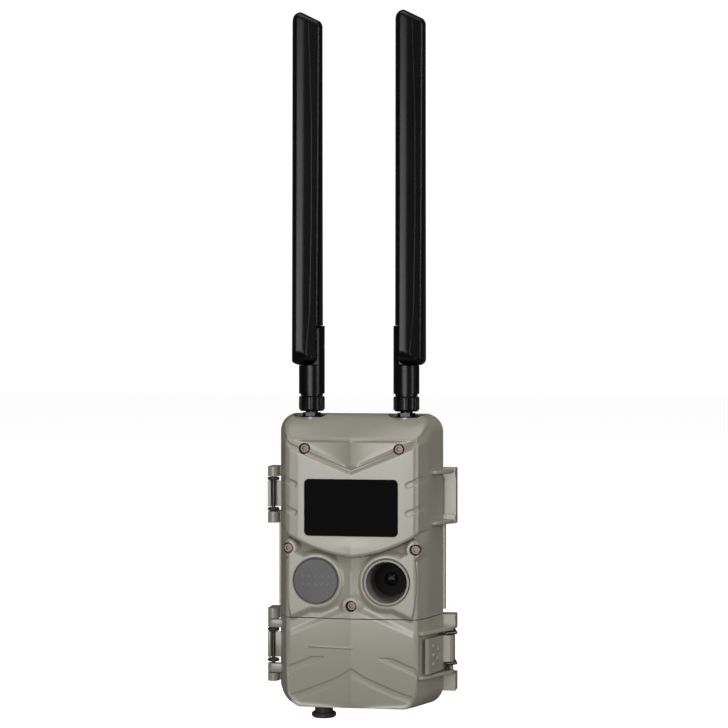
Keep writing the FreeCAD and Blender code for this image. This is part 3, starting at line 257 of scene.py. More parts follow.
def column_codes():
    """Places across the front in mm, with the wall's codes beyond each edge."""
    inside = np.linspace(-HALF_FRONT, HALF_FRONT, int(round(2 * HALF_FRONT / FINE)) + 1)
    beyond = HALF_FRONT + wall_rows()
    return np.concatenate((-beyond[::-1], inside, beyond))


def row_codes(low, high):
    """Places up the front in mm, between two heights."""
    return np.linspace(low, high, int((high - low) / FINE) + 1)


def shell_points(x_code, z_code, top_edge=True, low_edge=True, extra=None):
    """Points of the front skin, in mm, for a grid of codes.

    A code inside the front face is a place in mm. A code beyond the edge is a place on the wall.
    """
    xs, zs = np.meshgrid(x_code, z_code, indexing="ij")
    sign = np.where(xs < 0, -1.0, 1.0)
    ax = np.abs(xs)
    px = ax - (HALF_FRONT - CORNER)
    high = zs - (HEIGHT - CORNER)
    low = (LIFT + CORNER) - zs
    pz = np.maximum(np.where(top_edge, high, -1), np.where(low_edge, low, -1))
    up = np.where(high > low, 1.0, -1.0)
    qx, qz = np.maximum(px, 0), np.maximum(pz, 0)
    reach = np.maximum(qx, qz)
    length = np.maximum(np.hypot(qx, qz), 1e-9)
    dir_x, dir_z = qx / length, qz / length
    past = np.maximum(reach - CORNER, 0)            # distance on the wall
    inside = np.minimum(reach, CORNER)              # distance from the corner's centre
    gap = CORNER - inside                           # distance from the edge, on the front
    # rounded front edge: angle runs from the front to the wall
    on_wall = past > 0
    angle = np.where(on_wall, 45 + 45 * np.clip(past / EDGE, 0, 1), 45 * (1 - np.clip(gap / EDGE, 0, 1)))
    angle = np.radians(np.where(reach <= 0, 0, angle))
    pull = EDGE * (1 - np.sin(angle))
    sink = EDGE * (1 - np.cos(angle))
    straight = (gap >= EDGE) & ~on_wall
    radial = np.where(straight, inside, np.where(past >= EDGE, CORNER, CORNER - pull))
    sink = np.where(straight, 0, sink)
    z_front = np.where(pz > 0, np.where(up > 0, HEIGHT - CORNER, LIFT + CORNER) + up * dir_z * radial, zs)
    brow = brow_depth(z_front)
    wall_part = np.clip((past - EDGE) / (WALL - EDGE), 0, 1)
    depth = brow + sink + (DEPTH - brow - EDGE) * wall_part
    half = HALF_FRONT + DRAFT * depth
    centre = half - CORNER
    x = np.where(px > 0, centre + dir_x * radial, ax * centre / (HALF_FRONT - CORNER))
    drop = LIFT * np.clip(depth / DEPTH, 0, 1)
    z = np.where((pz > 0) & (up < 0), z_front - drop, z_front)
    fade_z = np.clip(1 - (zs - LIFT - CORNER) / (DOOR_TOP - 1 - LIFT - CORNER), 0, 1)
    z = np.where(pz > 0, z, z_front - drop * fade_z * (zs > LIFT + CORNER))
    # relief: into the front, and into the wall near the edge
    amount = relief(x, z)
    if extra is not None:
        amount = amount + extra(sign * x, z)
    fade_top = 1 - smooth(BROW - 1, BROW + 1.5, z)
    amount = amount * fade_top + (1 - fade_top) * (0.11 * x * (1 - smooth(BROW, BROW + 9, z)))
    amount = amount * np.where(on_wall, 1 - smooth(2, 13, past), 1)
    depth = depth + amount * np.cos(angle)
    x = x - 0.6 * amount * np.sin(angle) * dir_x
    return np.stack((sign * x, FRONT + depth, z + FLOOR), axis=-1)


def grid_faces(columns, rows, offset=0, flip=False):
    """Quads of a grid whose points are numbered column by column."""
    i, j = np.meshgrid(np.arange(columns - 1), np.arange(rows - 1), indexing="ij")
    a = (i * rows + j).ravel() + offset
    quads = np.stack((a, a + rows, a + rows + 1, a + 1), axis=1)
    return quads[:, ::-1] if flip else quads


def grid_rim(columns, rows):
    """Indices of a grid's outer points, once round."""
    rim = [i * rows for i in range(columns)]
    rim += [(columns - 1) * rows + j for j in range(1, rows)]
    rim += [i * rows + rows - 1 for i in range(columns - 2, -1, -1)]
    rim += [j for j in range(rows - 2, 0, -1)]
    return rim


def closed_skin(name, points, cut_height):
    """A solid from an open grid of points: its cut edge and its seam are each closed with a face."""
    columns, rows, _ = points.shape
    mesh = bpy.data.meshes.new(name)
    mesh.from_pydata((points.reshape(-1, 3) * MM).tolist(), [], grid_faces(columns, rows).tolist())
    bm = bmesh.new()
    bm.from_mesh(mesh)
    close_cut(bm, cut_height)
    return mesh_from_bmesh(name, bm)


def close_cut(bm, cut_height):
    """Close a skin whose cut edge lies at cut_height: one face there, one in the seam plane."""
    level = (cut_height + FLOOR) * MM
    edges = [edge for edge in bm.edges if edge.is_boundary]
    cut = [edge for edge in edges if all(abs(v.co.z - level) < 1e-6 for v in edge.verts)]
    ends = {}
    for edge in cut:
        for vert in edge.verts:
            ends[vert] = ends.get(vert, 0) + 1
    tips = [vert for vert, count in ends.items() if count == 1]
    link = bm.edges.new(tips)
    bmesh.ops.contextual_create(bm, geom=cut + [link])
    rest = [edge for edge in bm.edges if edge.is_boundary or edge == link]
    rest = [edge for edge in rest if len(edge.link_faces) < 2]
    bmesh.ops.contextual_create(bm, geom=rest)


# ------------------------------------------------------------------ cutters
def add_cylinder(bm, centre, axis, radius, length, segments=96):
    """A closed cylinder from centre along axis; sizes in mm."""
    turn = Vector((0, 0, 1)).rotation_difference(Vector(axis)).to_matrix().to_4x4()
    middle = Vector(centre) + Vector(axis) * length / 2
    matrix = Matrix.Translation(middle * MM) @ turn
    bmesh.ops.create_cone(bm, cap_ends=True, segments=segments, radius1=radius * MM, radius2=radius * MM,
                          depth=length * MM, matrix=matrix)


def add_rounded_slab(bm, low, high, y_low, y_high, radius):
    """A block along Y with rounded corners in the XZ plane."""
    outline = rounded_rectangle(low, high, radius)
    add_prism(bm, [(x, y_low, z) for x, z in outline], [(x, y_high, z) for x, z in outline])


def add_cavity(bm, low, high, y_front, half_front, half_back, radius):
    """The hollow of a shell: a rounded prism that widens towards the seam."""
    rings = []
    for y, half in ((y_front, half_front), (SEAM + 1, half_back)):
        outline = rounded_rectangle((-half, low + FLOOR), (half, high + FLOOR), radius)
        rings.append([(x, y, z) for x, z in outline])
    add_prism(bm, *rings)


PORT_Y = -40.5          # the antennas stand on this line
PORT_FLOOR = 142.3      # height of the flat pad under an antenna's nut
PORT_PAD = 6.2          # the pad's radius
SCOOP = 9.4             # radius of the recess round it
EYE_HOLE = 11.15        # radii of the openings
EYE_CHAMFER = 13.1
SCREW_HOLE = 2.8
WINDOW_HALF = 23.25
WINDOW_LOW = 85.05
WINDOW_HIGH = 112.95
CARD_X = -25.1          # middle of the memory card
CARD_Z = 12.6


def add_dish(bm, x):
    """Recess round an antenna port: a flat pad inside, a floor just below the brow outside."""
    steps = 96
    rings = []
    for radius, zone in ((PORT_PAD, "pad"), (PORT_PAD + 0.02, "dish"), (7.2, "dish"), (8.3, "dish"),
                         (SCOOP, "dish"), (SCOOP, "top")):
        ring = []
        for step in range(steps):
            angle = 2 * math.pi * step / steps
            y = PORT_Y + radius * math.sin(angle)
            brow = min(HEIGHT, BROW + (y - FRONT) * (HEIGHT - BROW) / BROW_RUN)
            level = {"pad": PORT_FLOOR, "dish": min(PORT_FLOOR, brow - 1.5), "top": HEIGHT + 8}[zone]
            ring.append(bm.verts.new(Vector((x + radius * math.cos(angle), y, level + FLOOR)) * MM))
        rings.append(ring)
    bm.faces.new(rings[0][::-1])
    bm.faces.new(rings[-1])
    for inner, outer in zip(rings, rings[1:]):
        for step in range(steps):
            after = (step + 1) % steps
            bm.faces.new((inner[step], outer[step], outer[after], inner[after]))


def front_cutters():
    """Screw holes, eye holes, antenna recesses and the window's opening, then the eyes' chamfers."""
    openings = bmesh.new()
    for x, z in SCREWS:
        add_cylinder(openings, (x, FRONT - 2, z + FLOOR), (0, 1, 0), SCREW_HOLE, 9.0, 48)
    for x in (-EYE_X, EYE_X):
        add_cylinder(openings, (x, FRONT - 2, EYE_Z + FLOOR), (0, 1, 0), EYE_HOLE, 16, 128)
    for _, x in ANTENNAS:
        add_dish(openings, x)
    add_rounded_slab(openings, (-WINDOW_HALF, WINDOW_LOW + FLOOR), (WINDOW_HALF, WINDOW_HIGH + FLOOR),
                     FRONT - 3, FRONT + 7, 2.4)
    chamfers = bmesh.new()
    for x in (-EYE_X, EYE_X):
        turn = Matrix.Rotation(math.radians(90), 4, "X")
        matrix = Matrix.Translation(Vector((x, FRONT + 0.7, EYE_Z + FLOOR)) * MM) @ turn
        bmesh.ops.create_cone(chamfers, cap_ends=True, segments=128, radius1=(EYE_HOLE - 0.15) * MM,
                              radius2=EYE_CHAMFER * MM, depth=2.1 * MM, matrix=matrix)
    return mesh_from_bmesh("front_openings", openings), mesh_from_bmesh("eye_chamfers", chamfers)


def front_housing():
    """The upper shell with its window, eyes, recesses and screw holes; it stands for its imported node."""
    rows = np.concatenate((row_codes(HOUSING_LOW, HEIGHT), HEIGHT + wall_rows()))
    mesh = closed_skin("front_skin", shell_points(column_codes(), rows, low_edge=False), HOUSING_LOW)
    # the hollow is cut first, so that the openings end inside it
    cavity = bmesh.new()
    add_cavity(cavity, HOUSING_LOW + 2.5, 128, FRONT + 9, 31, 38.6, 6)
    mesh = carve(mesh, mesh_from_bmesh("front_cavity", cavity))
    for tool in front_cutters():
        mesh = carve(mesh, tool)
    piece = new_object("front_shell", mesh, "camera_body", KHAKI, 30)
    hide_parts("front_housing")


def door_shell():
    """The battery door's shell, with its engraving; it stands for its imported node."""
    rows = np.concatenate((LIFT - wall_rows()[::-1], row_codes(LIFT, DOOR_TOP)))
    points = shell_points(column_codes(), rows, top_edge=False, extra=door_relief)
    points[..., 1] = np.minimum(points[..., 1], DOOR_BACK)
    mesh = closed_skin("door_skin", points, DOOR_TOP)
    cavity = bmesh.new()
    add_cavity(cavity, LIFT + 2.6, DOOR_TOP - 1.8, FRONT + 5.8, 31.2, 38.7, 6.5)
    mesh = carve(mesh, mesh_from_bmesh("door_cavity", cavity))
    # room in the front wall for the memory card when it is slid out behind the closed door
    pocket = bmesh.new()
    place = Matrix.Translation(Vector((CARD_X, FRONT + 6.2, CARD_Z + FLOOR)) * MM)
    bmesh.ops.create_cube(pocket, size=MM, matrix=place @ Matrix.Diagonal((13, 4, 3, 1)))
    mesh = carve(mesh, mesh_from_bmesh("card_pocket", pocket))
    piece = new_object("door_shell", mesh, "door", KHAKI, 30)
    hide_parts("door")


# ------------------------------------------------------------------ plates, ears and guards of the shells
HINGE_X = -44.6         # axis of the door's hinge
HINGE_Y = -35.0
EAR_RADIUS = 2.8
EAR_BORE = 0.9
SHELF_THICK = 1.7
FLANGE_FRONT = -32.6
FLANGE_BACK = -31.8


def slab_mesh(name, outline, low, high, bevel):
    """A flat prism with softened edges, its outline in the XY plane."""
    bm = bmesh.new()
    add_prism(bm, [(x, y, low + FLOOR) for x, y in outline], [(x, y, high + FLOOR) for x, y in outline])
    bmesh.ops.recalc_face_normals(bm, faces=bm.faces)
    edges = [edge for edge in bm.edges if edge.calc_face_angle(0) > math.radians(35)]
    bmesh.ops.bevel(bm, geom=edges, offset=bevel * MM, segments=3, profile=0.5, affect="EDGES")
    return mesh_from_bmesh(name, bm)


def body_slab(name, body, outline, low, high, bevel):
    """A khaki plate that rides the door or the body."""
    new_object(name, slab_mesh(name, outline, low, high, bevel), body, KHAKI)


def door_ears():
    """Two ears round the hinge wire, each with a bore for it."""
    outline = [(-39.2, DOOR_BACK), (-39.2, HINGE_Y - EAR_RADIUS)]
    outline += arc_points(HINGE_X, HINGE_Y, EAR_RADIUS, -90, -180)
    outline += [(HINGE_X - EAR_RADIUS, DOOR_BACK)]
    for tag, low, high in (("low", 14, 18.4), ("high", 36.4, 40.5)):
        name = f"door_ear_{tag}"
        bore = bmesh.new()
        add_cylinder(bore, (HINGE_X, HINGE_Y, low + FLOOR - 1), (0, 0, 1), EAR_BORE, high - low + 2, 32)
        mesh = carve(slab_mesh(name, outline, low, high, 0.35), mesh_from_bmesh(f"{name}_bore", bore))
        new_object(name, mesh, "door", KHAKI)


def shell_fittings():
    """The door's hinge guard and latch shelves, and the body's latch flange and upper shelves."""
    left = HINGE_X - EAR_RADIUS
    guard = [(left, DOOR_BACK), (left, HINGE_Y - 1), (left + 1.5, HINGE_Y - 1),
             (left + 1.5, DOOR_BACK - 0.6), (-39, DOOR_BACK - 0.6), (-39, DOOR_BACK)]
    body_slab("door_hinge_guard", "door", guard, 21.2, 34.1, 0.25)
    shelf = [(37.7, DOOR_BACK), (32.6, -60.6), (35.1, -61.2), (43.0, -44.5), (46.8, -39.0),
             (46.8, DOOR_BACK)]
    for tag, low in (("low", 15.6), ("high", 37.15)):
        body_slab(f"latch_shelf_{tag}", "door", shelf, low, low + SHELF_THICK, 0.4)
    # the flange behind the lever, with a tongue that is narrow enough to pass between the bail's wires
    for tag, low, high, right in (("flange", 15.2, 37.4, 46.2), ("flange_tongue", 22.2, 34.7, 47.1)):
        plate = [(39.5, FLANGE_FRONT), (right, FLANGE_FRONT), (right, FLANGE_BACK), (39.5, FLANGE_BACK)]
        body_slab(f"latch_{tag}", "camera_body", plate, low, high, 0.2)
    shelf = [(37.7, SEAM), (36.6, -47.6), (39.6, -48.6), (46.4, -36.5), (46.4, SEAM)]
    for tag, low in (("low", 89.8), ("high", 114.8)):
        body_slab(f"side_shelf_{tag}", "camera_body", shelf, low, low + SHELF_THICK, 0.4)


def grip_nubs():
    """Raised round nubs that give the fingers hold on the latch lever."""
    start, end = Vector((38.0, -58.0)), Vector((42.3, -41.0))
    along = (end - start).normalized()
    normal = Vector((along.y, -along.x))
    bm = bmesh.new()
    for share, height in ((0.3, 22.4), (0.3, 26.8), (0.3, 31.2), (0.62, 24.6), (0.62, 29.0)):
        spot = start + (end - start) * share
        place = Matrix(((along.x, 0, normal.x, spot.x * MM), (along.y, 0, normal.y, spot.y * MM),
                        (0, 1, 0, (height + FLOOR) * MM), (0, 0, 0, 1)))
        made = bmesh.ops.create_uvsphere(bm, u_segments=24, v_segments=12, radius=MM)
        bmesh.ops.transform(bm, matrix=place @ Matrix.Diagonal((1.5, 1.15, 0.55, 1)), verts=made["verts"])
    new_object("latch_grip_nubs", mesh_from_bmesh("grip_nubs", bm), "latch_lever", KHAKI, 60)


# ------------------------------------------------------------------ antenna blades
PIVOT = 177.4           # height of the tilt pin
HEEL = 9.3              # radius of the round heel about the pin
BLADE_TOP = 344.2
BLADE_LOW = PIVOT - HEEL
BLADE_OUT = 9.7         # from the antenna's axis to the blade's outer edge
BLADE_IN = 5.4          # and to its inner edge
BLADE_WIDE = BLADE_OUT + BLADE_IN
CREST = 3.4             # the blade is thickest this far from its left edge
SHOULDER = 4.4          # radius of the high corner at the top
TAIL = 1.8              # radius of the other top corner
FOOT = 4.2              # radius of the lower corners
SPLIT = 3.36            # the knuckle's ear lies beyond this plane
EAR_TOP = 187.77
TIP_ROUND = 3.2
EDGE_HALF = 0.25        # half thickness of the blade's thinnest edges
PIN_BORE = 1.56         # radius of the bore for the tilt pin
PIN_HALF = 6.6


def quarter(radius, distance):
    """Height of a quarter circle, at a distance from its middle."""
    return np.sqrt(np.clip(radius ** 2 - distance ** 2, 0, None))


def blade_profile(share, z):
    """Half thickness of a blade at a share of its width: a crest, then a hollow side with a fine ridge."""
    full = np.interp(z, (PIVOT, 260, BLADE_TOP), (9.0, 6.9, 5.6))
    across = share * BLADE_WIDE
    # the surface falls from the crest as a parabola, then as a flat facet
    near = np.arange(0, 4.01, 0.5)
    fall = 0.028 * near ** 2 + 0.0387 * np.maximum(near - 2.5, 0) ** 2
    fall = np.interp(np.maximum(across - CREST, 0), np.append(near, 12), np.append(fall, fall[-1] + 2.72))
    ridge = np.interp(z, (168, 172, 195, 240, 290, 330, 344), (0.5, 0.54, 0.66, 0.70, 0.69, 0.61, 0.58))
    body = full - fall + 0.06 * smooth(-0.01, 0.01, share - ridge)
    lead = quarter(1, np.maximum(CREST - across, 0) / CREST)
    tail = quarter(1, np.maximum(across - BLADE_WIDE + 2.2, 0) / 2.2)
    return body * lead * tail


def blade_grid():
    """Shares of the blade's width and height, closer together at its edges and near the ridge."""
    across = 0.5 * (1 - np.cos(np.pi * np.linspace(0, 1, 33)))
    across = np.unique(np.concatenate((across, np.linspace(0.42, 0.78, 46))))
    foot = 0.06 * (1 - np.cos(np.linspace(0, np.pi / 2, 14)))
    top = 1 - 0.035 * (1 - np.sin(np.linspace(0, np.pi / 2, 12)))
    up = np.unique(np.concatenate((foot, np.linspace(0.07, 0.96, 60), top)))
    return np.meshgrid(across, up, indexing="ij")


def blade_skin(name, axis_x, left, slot_side):
    """The blade as two grids, front and back, joined round their rim."""
    share, rise = blade_grid()
    from_left = share * BLADE_WIDE
    top = BLADE_TOP - 0.95 * (SHOULDER - quarter(SHOULDER, np.maximum(SHOULDER - from_left, 0)))
    top = top - 0.5 * np.maximum(from_left - SHOULDER, 0)
    top = top - 1.3 * (TAIL - quarter(TAIL, np.maximum(from_left - BLADE_WIDE + TAIL, 0)))
    from_outside = from_left if slot_side > 0 else BLADE_WIDE - from_left
    low = BLADE_LOW + FOOT - quarter(FOOT, np.maximum(FOOT - from_outside, 0))
    z = low + (top - low) * rise
    thick = blade_profile(share, z) * quarter(1, 1 - np.clip((top - z) / TIP_ROUND, 0, 1))
    heel = quarter(HEEL, np.maximum(PIVOT - z, 0))
    rear_edge = 1 - 0.12 * (1 - np.clip((z - low) / 1.2, 0, 1)) ** 2
    front = np.maximum(np.minimum(thick, heel), EDGE_HALF)
    back = np.maximum(thick * rear_edge, EDGE_HALF)
    columns, rows = share.shape
    sides = [np.stack((axis_x + left + from_left, PORT_Y + offset, z + FLOOR), axis=-1).reshape(-1, 3) * MM
             for offset in (-front, back)]
    count = columns * rows
    faces = grid_faces(columns, rows).tolist() + grid_faces(columns, rows, count, True).tolist()
    rim = grid_rim(columns, rows)
    for a, b in zip(rim, rim[1:] + rim[:1]):
        faces.append((b, a, a + count, b + count))
    mesh = bpy.data.meshes.new(name)
    mesh.from_pydata(np.concatenate(sides).tolist(), [], faces)
    bm = bmesh.new()
    bm.from_mesh(mesh)
    return mesh_from_bmesh(name, bm)


def blade_mesh(name, axis_x, left, slot_side):
    """A blade; left is its left edge from the antenna's axis, slot_side the ear's side."""
    mesh = blade_skin(name, axis_x, left, slot_side)
    # room for the knuckle's ear; the inner lower corner is rounded off on the front half only
    outside, under = 9, BLADE_LOW - 3
    slot = [(outside, under), (outside, EAR_TOP), (SPLIT, EAR_TOP), (SPLIT, under)]
    corner = [(outside, under), (outside, BLADE_LOW + FOOT)]
    corner += arc_points(SPLIT - FOOT, BLADE_LOW + FOOT, FOOT, 0, -90, 12)
    corner += [(SPLIT - FOOT, under)]
    for tag, outline, rear in (("slot", slot, 12), ("corner", corner, -3)):
        cutter = bmesh.new()
        add_prism(cutter, *([(axis_x + slot_side * x, y, z + FLOOR) for x, z in outline]
                            for y in (PORT_Y - 12, PORT_Y + rear)))
        mesh = carve(mesh, mesh_from_bmesh(f"{name}_{tag}", cutter))
    bore = bmesh.new()
    add_cylinder(bore, (axis_x - PIN_HALF, PORT_Y, PIVOT + FLOOR), (1, 0, 0), PIN_BORE, 2 * PIN_HALF, 32)
    return carve(mesh, mesh_from_bmesh(f"{name}_bore", bore))


def blades():
    """Both antenna paddles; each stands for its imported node."""
    for name, axis_x in ANTENNAS:
        left, slot_side = (-BLADE_OUT, 1) if name == "left" else (-BLADE_IN, -1)
        mesh = blade_mesh(f"paddle_{name}", axis_x, left, slot_side)
        piece = new_object(f"paddle_{name}", mesh, f"antenna_blade_{name}", BLACK, 32)
        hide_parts(f"antenna_blade_{name}")


# ------------------------------------------------------------------ materials
GRAIN_DEPTH = 0.00012   # metres
CLOUD_SCALE = 28        # clouds of about 36 mm
PIR_CELL = 3.2          # width of a lens cell in the sensor's film
PIR_GLINT_ROW = 65.4        # heights of the two rows of painted glints at the lens cells' corners
PIR_FAINT_GLINT_ROW = 61.6
PIR_HALF = 8.2          # the painted glints cover this half width


def principled(name, colour, roughness, **values):
    """A plain Principled material; values are more of its inputs, with _ for a space."""
    material = bpy.data.materials.new(name)
    material.use_nodes = True
    shader = material.node_tree.nodes["Principled BSDF"]
    shader.inputs["Base Color"].default_value = (*colour, 1)
    shader.inputs["Roughness"].default_value = roughness
    for key, value in values.items():
        shader.inputs[key.replace("_", " ")].default_value = value
    return material


def moulded(name, colour, roughness, grain=1500, bump=0.15, patch=0.06, rough_swing=0.08, **values):
    """A surface with fine grain, faint clouds of tone, and smoother and rougher patches."""
    material = principled(name, colour, roughness, **values)
    tree = material.node_tree
    shader = tree.nodes["Principled BSDF"]
    place = tree.nodes.new("ShaderNodeTexCoord")
    broad = tree.nodes.new("ShaderNodeTexNoise")
    broad.inputs["Scale"].default_value = CLOUD_SCALE
    broad.inputs["Detail"].default_value = 1
    tree.links.new(place.outputs["Object"], broad.inputs["Vector"])
    if bump:
        fine = tree.nodes.new("ShaderNodeTexNoise")
        fine.inputs["Scale"].default_value = grain
        fine.inputs["Detail"].default_value = 3
        tree.links.new(place.outputs["Object"], fine.inputs["Vector"])
        height = tree.nodes.new("ShaderNodeBump")
        height.inputs["Strength"].default_value = bump
        height.inputs["Distance"].default_value = GRAIN_DEPTH
        tree.links.new(fine.outputs["Fac"], height.inputs["Height"])
        tree.links.new(height.outputs["Normal"], shader.inputs["Normal"])
    tone = tree.nodes.new("ShaderNodeValToRGB")
    tone.color_ramp.elements[0].position = 0.2
    tone.color_ramp.elements[1].position = 0.8
    tone.color_ramp.elements[0].color = (*(c * (1 - patch) for c in colour), 1)
    tone.color_ramp.elements[1].color = (*(min(1, c * (1 + patch)) for c in colour), 1)
    tree.links.new(broad.outputs["Fac"], tone.inputs["Fac"])
    tree.links.new(tone.outputs["Color"], shader.inputs["Base Color"])
    swing = tree.nodes.new("ShaderNodeMapRange")
    swing.inputs["From Min"].default_value = 0.2
    swing.inputs["From Max"].default_value = 0.8
    swing.inputs["To Min"].default_value = roughness - rough_swing
    swing.inputs["To Max"].default_value = roughness + rough_swing
    tree.links.new(broad.outputs["Fac"], swing.inputs["Value"])
    tree.links.new(swing.outputs["Result"], shader.inputs["Roughness"])
    return material


def pir_painted_glints(material):
    """Painted highlights in the sensor's film: a row of small pale glints at the lens cells' corners, and
    wider, fainter ones below it.
    """
    tree = material.node_tree

    def maths(operation, first, second=None):
        node = tree.nodes.new("ShaderNodeMath")
        node.operation = operation
        for socket, value in zip(node.inputs, (first, second)):
            if isinstance(value, (int, float)):
                socket.default_value = value
            elif value is not None:
                tree.links.new(value, socket)
        return node.outputs[0]

    place = tree.nodes.new("ShaderNodeTexCoord")
    split = tree.nodes.new("ShaderNodeSeparateXYZ")
    tree.links.new(place.outputs["Object"], split.inputs[0])
    across = maths("MULTIPLY", maths("ADD", split.outputs["X"], EYE_X * MM), 1000)
    high = maths("SUBTRACT", maths("MULTIPLY", split.outputs["Z"], 1000), FLOOR)
    half_cell = PIR_CELL / 2
    cell = maths("SUBTRACT", maths("FLOORED_MODULO", maths("ADD", across, half_cell), PIR_CELL), half_cell)
    glints = None
    # each row of painted glints: its height, the glints' radius, and how strongly they lighten the film
    for row, size, strength in ((PIR_GLINT_ROW, 0.34, 0.4), (PIR_FAINT_GLINT_ROW, 0.8, 0.1)):
        above = maths("SUBTRACT", high, row)
        gap = maths("SQRT", maths("ADD", maths("POWER", cell, 2), maths("POWER", above, 2)))
        ring = tree.nodes.new("ShaderNodeMapRange")
        ring.interpolation_type = "SMOOTHSTEP"
        tree.links.new(gap, ring.inputs["Value"])
        ring.inputs["From Min"].default_value = size + 0.18
        ring.inputs["From Max"].default_value = size - 0.12
        glint = maths("MULTIPLY", ring.outputs[0], strength)
        glints = glint if glints is None else maths("MAXIMUM", glints, glint)
    within = maths("LESS_THAN", maths("ABSOLUTE", across), PIR_HALF)
    glints = maths("MULTIPLY", glints, within)
    shader = tree.nodes["Principled BSDF"]
    blend = tree.nodes.new("ShaderNodeMix")
    blend.data_type = "RGBA"
    tree.links.new(glints, blend.inputs["Factor"])
    tree.links.new(shader.inputs["Base Color"].links[0].from_socket, blend.inputs["A"])
    # pale grey of the painted glints, blended into the film's own colour
    blend.inputs["B"].default_value = (0.3, 0.3, 0.3, 1)
    tree.links.new(blend.outputs["Result"], shader.inputs["Base Color"])
    return material


KHAKI = moulded("khaki_plastic", (0.30, 0.284, 0.232), 0.288, grain=1700, bump=0.09, patch=0.02,
                rough_swing=0.012)
BLACK = moulded("black_plastic", (0.0022, 0.0022, 0.0024), 0.3, bump=0.04, rough_swing=0.02,
                Specular_IOR_Level=0.2)
DARK_GREY = moulded("dark_grey_plastic", (0.05, 0.05, 0.05), 0.5)
TUBE_GREY = moulded("lens_tube_plastic", (0.21, 0.2, 0.18), 0.34, grain=900, bump=0.05)
BEZEL_BLACK = moulded("bezel_black", (0.003, 0.003, 0.003), 0.5, bump=0.04, Specular_IOR_Level=0.04)
# the sensor's film, with painted glints at the corners of its lens cells
PIR_FILM = pir_painted_glints(moulded("pir_film", (0.075, 0.075, 0.075), 0.5, grain=600, bump=0.03, patch=0.1))
GLOSS_BLACK = moulded("filter_black", (0.0008, 0.0008, 0.0008), 0.08, bump=0.0, rough_swing=0.01,
                      Specular_IOR_Level=0.006)
RUBBER = moulded("dark_rubber", (0.035, 0.029, 0.025), 0.62, grain=900)
GREY_RUBBER = moulded("button_silicone", (0.18, 0.18, 0.18), 0.6)
SCREW = moulded("screw_metal", (0.085, 0.064, 0.056), 0.38, Metallic=0.9, bump=0.05)
STEEL = moulded("plain_steel", (0.5, 0.5, 0.5), 0.35, Metallic=1.0, bump=0.05)
DARK_METAL = moulded("blackened_metal", (0.03, 0.03, 0.03), 0.34, Metallic=1.0, bump=0.05)
BRASS = moulded("turned_brass", (0.7, 0.5, 0.2), 0.3, Metallic=1.0, bump=0.05)
GOLD = moulded("plated_metal", (0.8, 0.6, 0.28), 0.25, Metallic=1.0, bump=0.03)
WIRE = moulded("black_wire", (0.012, 0.012, 0.012), 0.3, bump=0.05)
BOARD = moulded("solder_mask", (0.01, 0.09, 0.03), 0.3, grain=700, bump=0.05)
LED = moulded("clear_epoxy", (0.5, 0.5, 0.55), 0.12, bump=0.0, rough_swing=0.03)
SLEEVE = moulded("cell_sleeve", (0.06, 0.06, 0.065), 0.3, bump=0.02)
DISPLAY = moulded("display_cell", (0.12, 0.16, 0.12), 0.2, bump=0.0)
CARD = moulded("card_plastic", (0.02, 0.035, 0.09), 0.4)
GLASS = moulded("coated_glass", (0.004, 0.004, 0.006), 0.1, bump=0.0, rough_swing=0.01,
                Specular_IOR_Level=0.05)

BY_SLOT = {
    "body_plastic": KHAKI, "black_plastic": BLACK, "dark_grey_plastic": DARK_GREY,
    "window_black": GLOSS_BLACK, "pir_film": PIR_FILM, "clear_glass": GLASS, "rubber": RUBBER,
    "steel_wire": WIRE, "screw_metal": SCREW, "brass": BRASS, "gold_metal": GOLD, "steel": STEEL,
    "black_metal": DARK_METAL, "board_green": BOARD, "led_clear": LED, "cell_label": SLEEVE,
    "display_glass": DISPLAY, "button_rubber": GREY_RUBBER, "card_blue": CARD,
}
BY_NODE = {
    "lens_tube": TUBE_GREY, "lens_bezel": BEZEL_BLACK, "antenna_jacks": DARK_METAL, "latch_pin": DARK_METAL,
}
# widths, in mm, of the softened edges of moulded and knurled nodes
SOFTENED = {
    "rear_housing": 0.35, "latch_lever": 0.5, "strap_brackets": 0.4, "battery_tray": 0.25,
    "control_panel": 0.25, "power_plug": 0.3, "housing_screws": 0.1,
    "antenna_knuckle_left": 0.45, "antenna_knuckle_right": 0.45,
    "antenna_nut_left": 0.25, "antenna_nut_right": 0.25,
}


def dress_cad_nodes():
    """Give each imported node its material, and soften the edges of those that show them."""
    for entry in frame["record"]["subparts"]:
        name = entry["node"]
        node = frame["nodes"][name]
        for slot in node.material_slots:
            slot.material = BY_NODE.get(name, BY_SLOT[entry["material_slot"]])
        if name in SOFTENED:
            soften = node.modifiers.new("soft_edges", "BEVEL")
            soften.width = SOFTENED[name] * MM
            soften.segments = 2
            soften.limit_method = "ANGLE"
            soften.angle_limit = math.radians(38)
            soften.use_clamp_overlap = True
            soften.harden_normals = False


# ------------------------------------------------------------------ studio
FLOOR_LEVEL = -0.0965   # metres; just below the power plug when it is pulled out
SENSOR = 36
LENS = 108.79
CAMERA_AZIMUTH = 10.3
CAMERA_DISTANCE = 1.07
CAMERA_HEIGHT = 185.6   # mm above the body's floor


def add_area(name, at, target, size, power):
    """A rectangular light, aimed at a target."""
    light = bpy.data.lights.new(name, "AREA")
    light.shape = "RECTANGLE"
    light.size, light.size_y = size
    light.energy = power
    item = bpy.data.objects.new(name, light)
    item.location = at
    item.rotation_euler = (Vector(target) - Vector(at)).to_track_quat("-Z", "Y").to_euler()
    bpy.context.scene.collection.objects.link(item)


def around(azimuth, distance, height):
    """A place on a circle round the object, azimuth 0 in front and growing towards +X."""
    turn = math.radians(azimuth)
    return (distance * math.sin(turn), -distance * math.cos(turn), height)


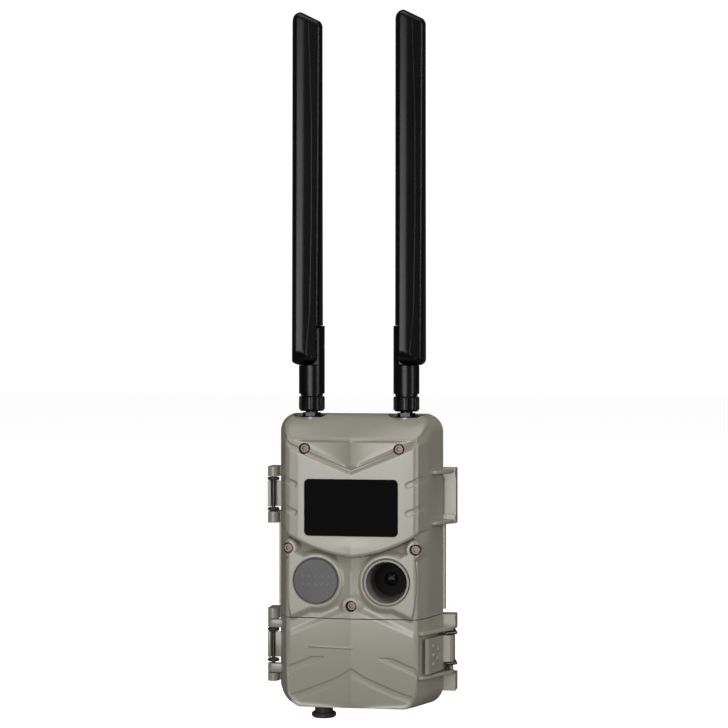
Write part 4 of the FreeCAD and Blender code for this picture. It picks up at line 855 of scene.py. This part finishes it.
def studio_world():
    """Dim light from all round, and a white backdrop for the camera only."""
    world = bpy.data.worlds.new("studio")
    world.use_nodes = True
    tree = world.node_tree
    room = tree.nodes["Background"]
    room.inputs["Color"].default_value = (1.0, 0.99, 0.97, 1)
    room.inputs["Strength"].default_value = 0.09
    backdrop = tree.nodes.new("ShaderNodeBackground")
    backdrop.inputs["Color"].default_value = (1, 1, 1, 1)
    backdrop.inputs["Strength"].default_value = 1.05
    path = tree.nodes.new("ShaderNodeLightPath")
    blend = tree.nodes.new("ShaderNodeMixShader")
    tree.links.new(path.outputs["Is Camera Ray"], blend.inputs[0])
    tree.links.new(room.outputs[0], blend.inputs[1])
    tree.links.new(backdrop.outputs[0], blend.inputs[2])
    tree.links.new(blend.outputs[0], tree.nodes["World Output"].inputs[0])
    bpy.context.scene.world = world


def studio_lights():
    """A broad key in front, a soft light overhead, and a strip that lights the object's right side."""
    add_area("key", around(-6, 1.5, 0.1), (0, 0, 0.03), (0.84, 0.68), 15.6)
    add_area("overhead", (0.1, -0.25, 1.1), (0, -0.03, 0.0), (0.9, 0.9), 6)
    add_area("strip", around(63, 1.2, 0.15), (0, 0, 0.0), (0.16, 1.1), 6)


def studio_floor():
    """A white floor that the camera sees, and that neither lights the object nor shows in it."""
    mesh = bpy.data.meshes.new("floor")
    bm = bmesh.new()
    bmesh.ops.create_grid(bm, x_segments=1, y_segments=1, size=6)
    bm.to_mesh(mesh)
    bm.free()
    floor = bpy.data.objects.new("floor", mesh)
    floor.location = (0, 0, FLOOR_LEVEL)
    floor.visible_diffuse = False
    floor.visible_glossy = False
    paint = principled("studio_floor", (0.9, 0.9, 0.9), 0.9)
    shader = paint.node_tree.nodes["Principled BSDF"]
    shader.inputs["Emission Color"].default_value = (1, 1, 1, 1)
    shader.inputs["Emission Strength"].default_value = 0.9
    mesh.materials.append(paint)
    bpy.context.scene.collection.objects.link(floor)


def camera():
    """Level camera about ten degrees to the object's right, just above the antenna roots."""
    azimuth = math.radians(CAMERA_AZIMUTH)
    view = bpy.data.cameras.new("camera")
    view.lens = LENS
    view.sensor_width = SENSOR
    view.shift_x = 0.01854
    view.shift_y = -0.0467
    item = bpy.data.objects.new("camera", view)
    target = Vector((0, FRONT, CAMERA_HEIGHT + FLOOR)) * MM
    back = Vector((math.sin(azimuth), -math.cos(azimuth), 0))
    item.location = target + back * CAMERA_DISTANCE
    item.rotation_euler = (-back).to_track_quat("-Z", "Y").to_euler()
    bpy.context.scene.collection.objects.link(item)
    bpy.context.scene.camera = item


dress_cad_nodes()
front_housing()
door_shell()
door_ears()
shell_fittings()
grip_nubs()
blades()
camera()
studio_world()
studio_lights()
studio_floor()
bpy.context.scene.view_settings.view_transform = "Standard"
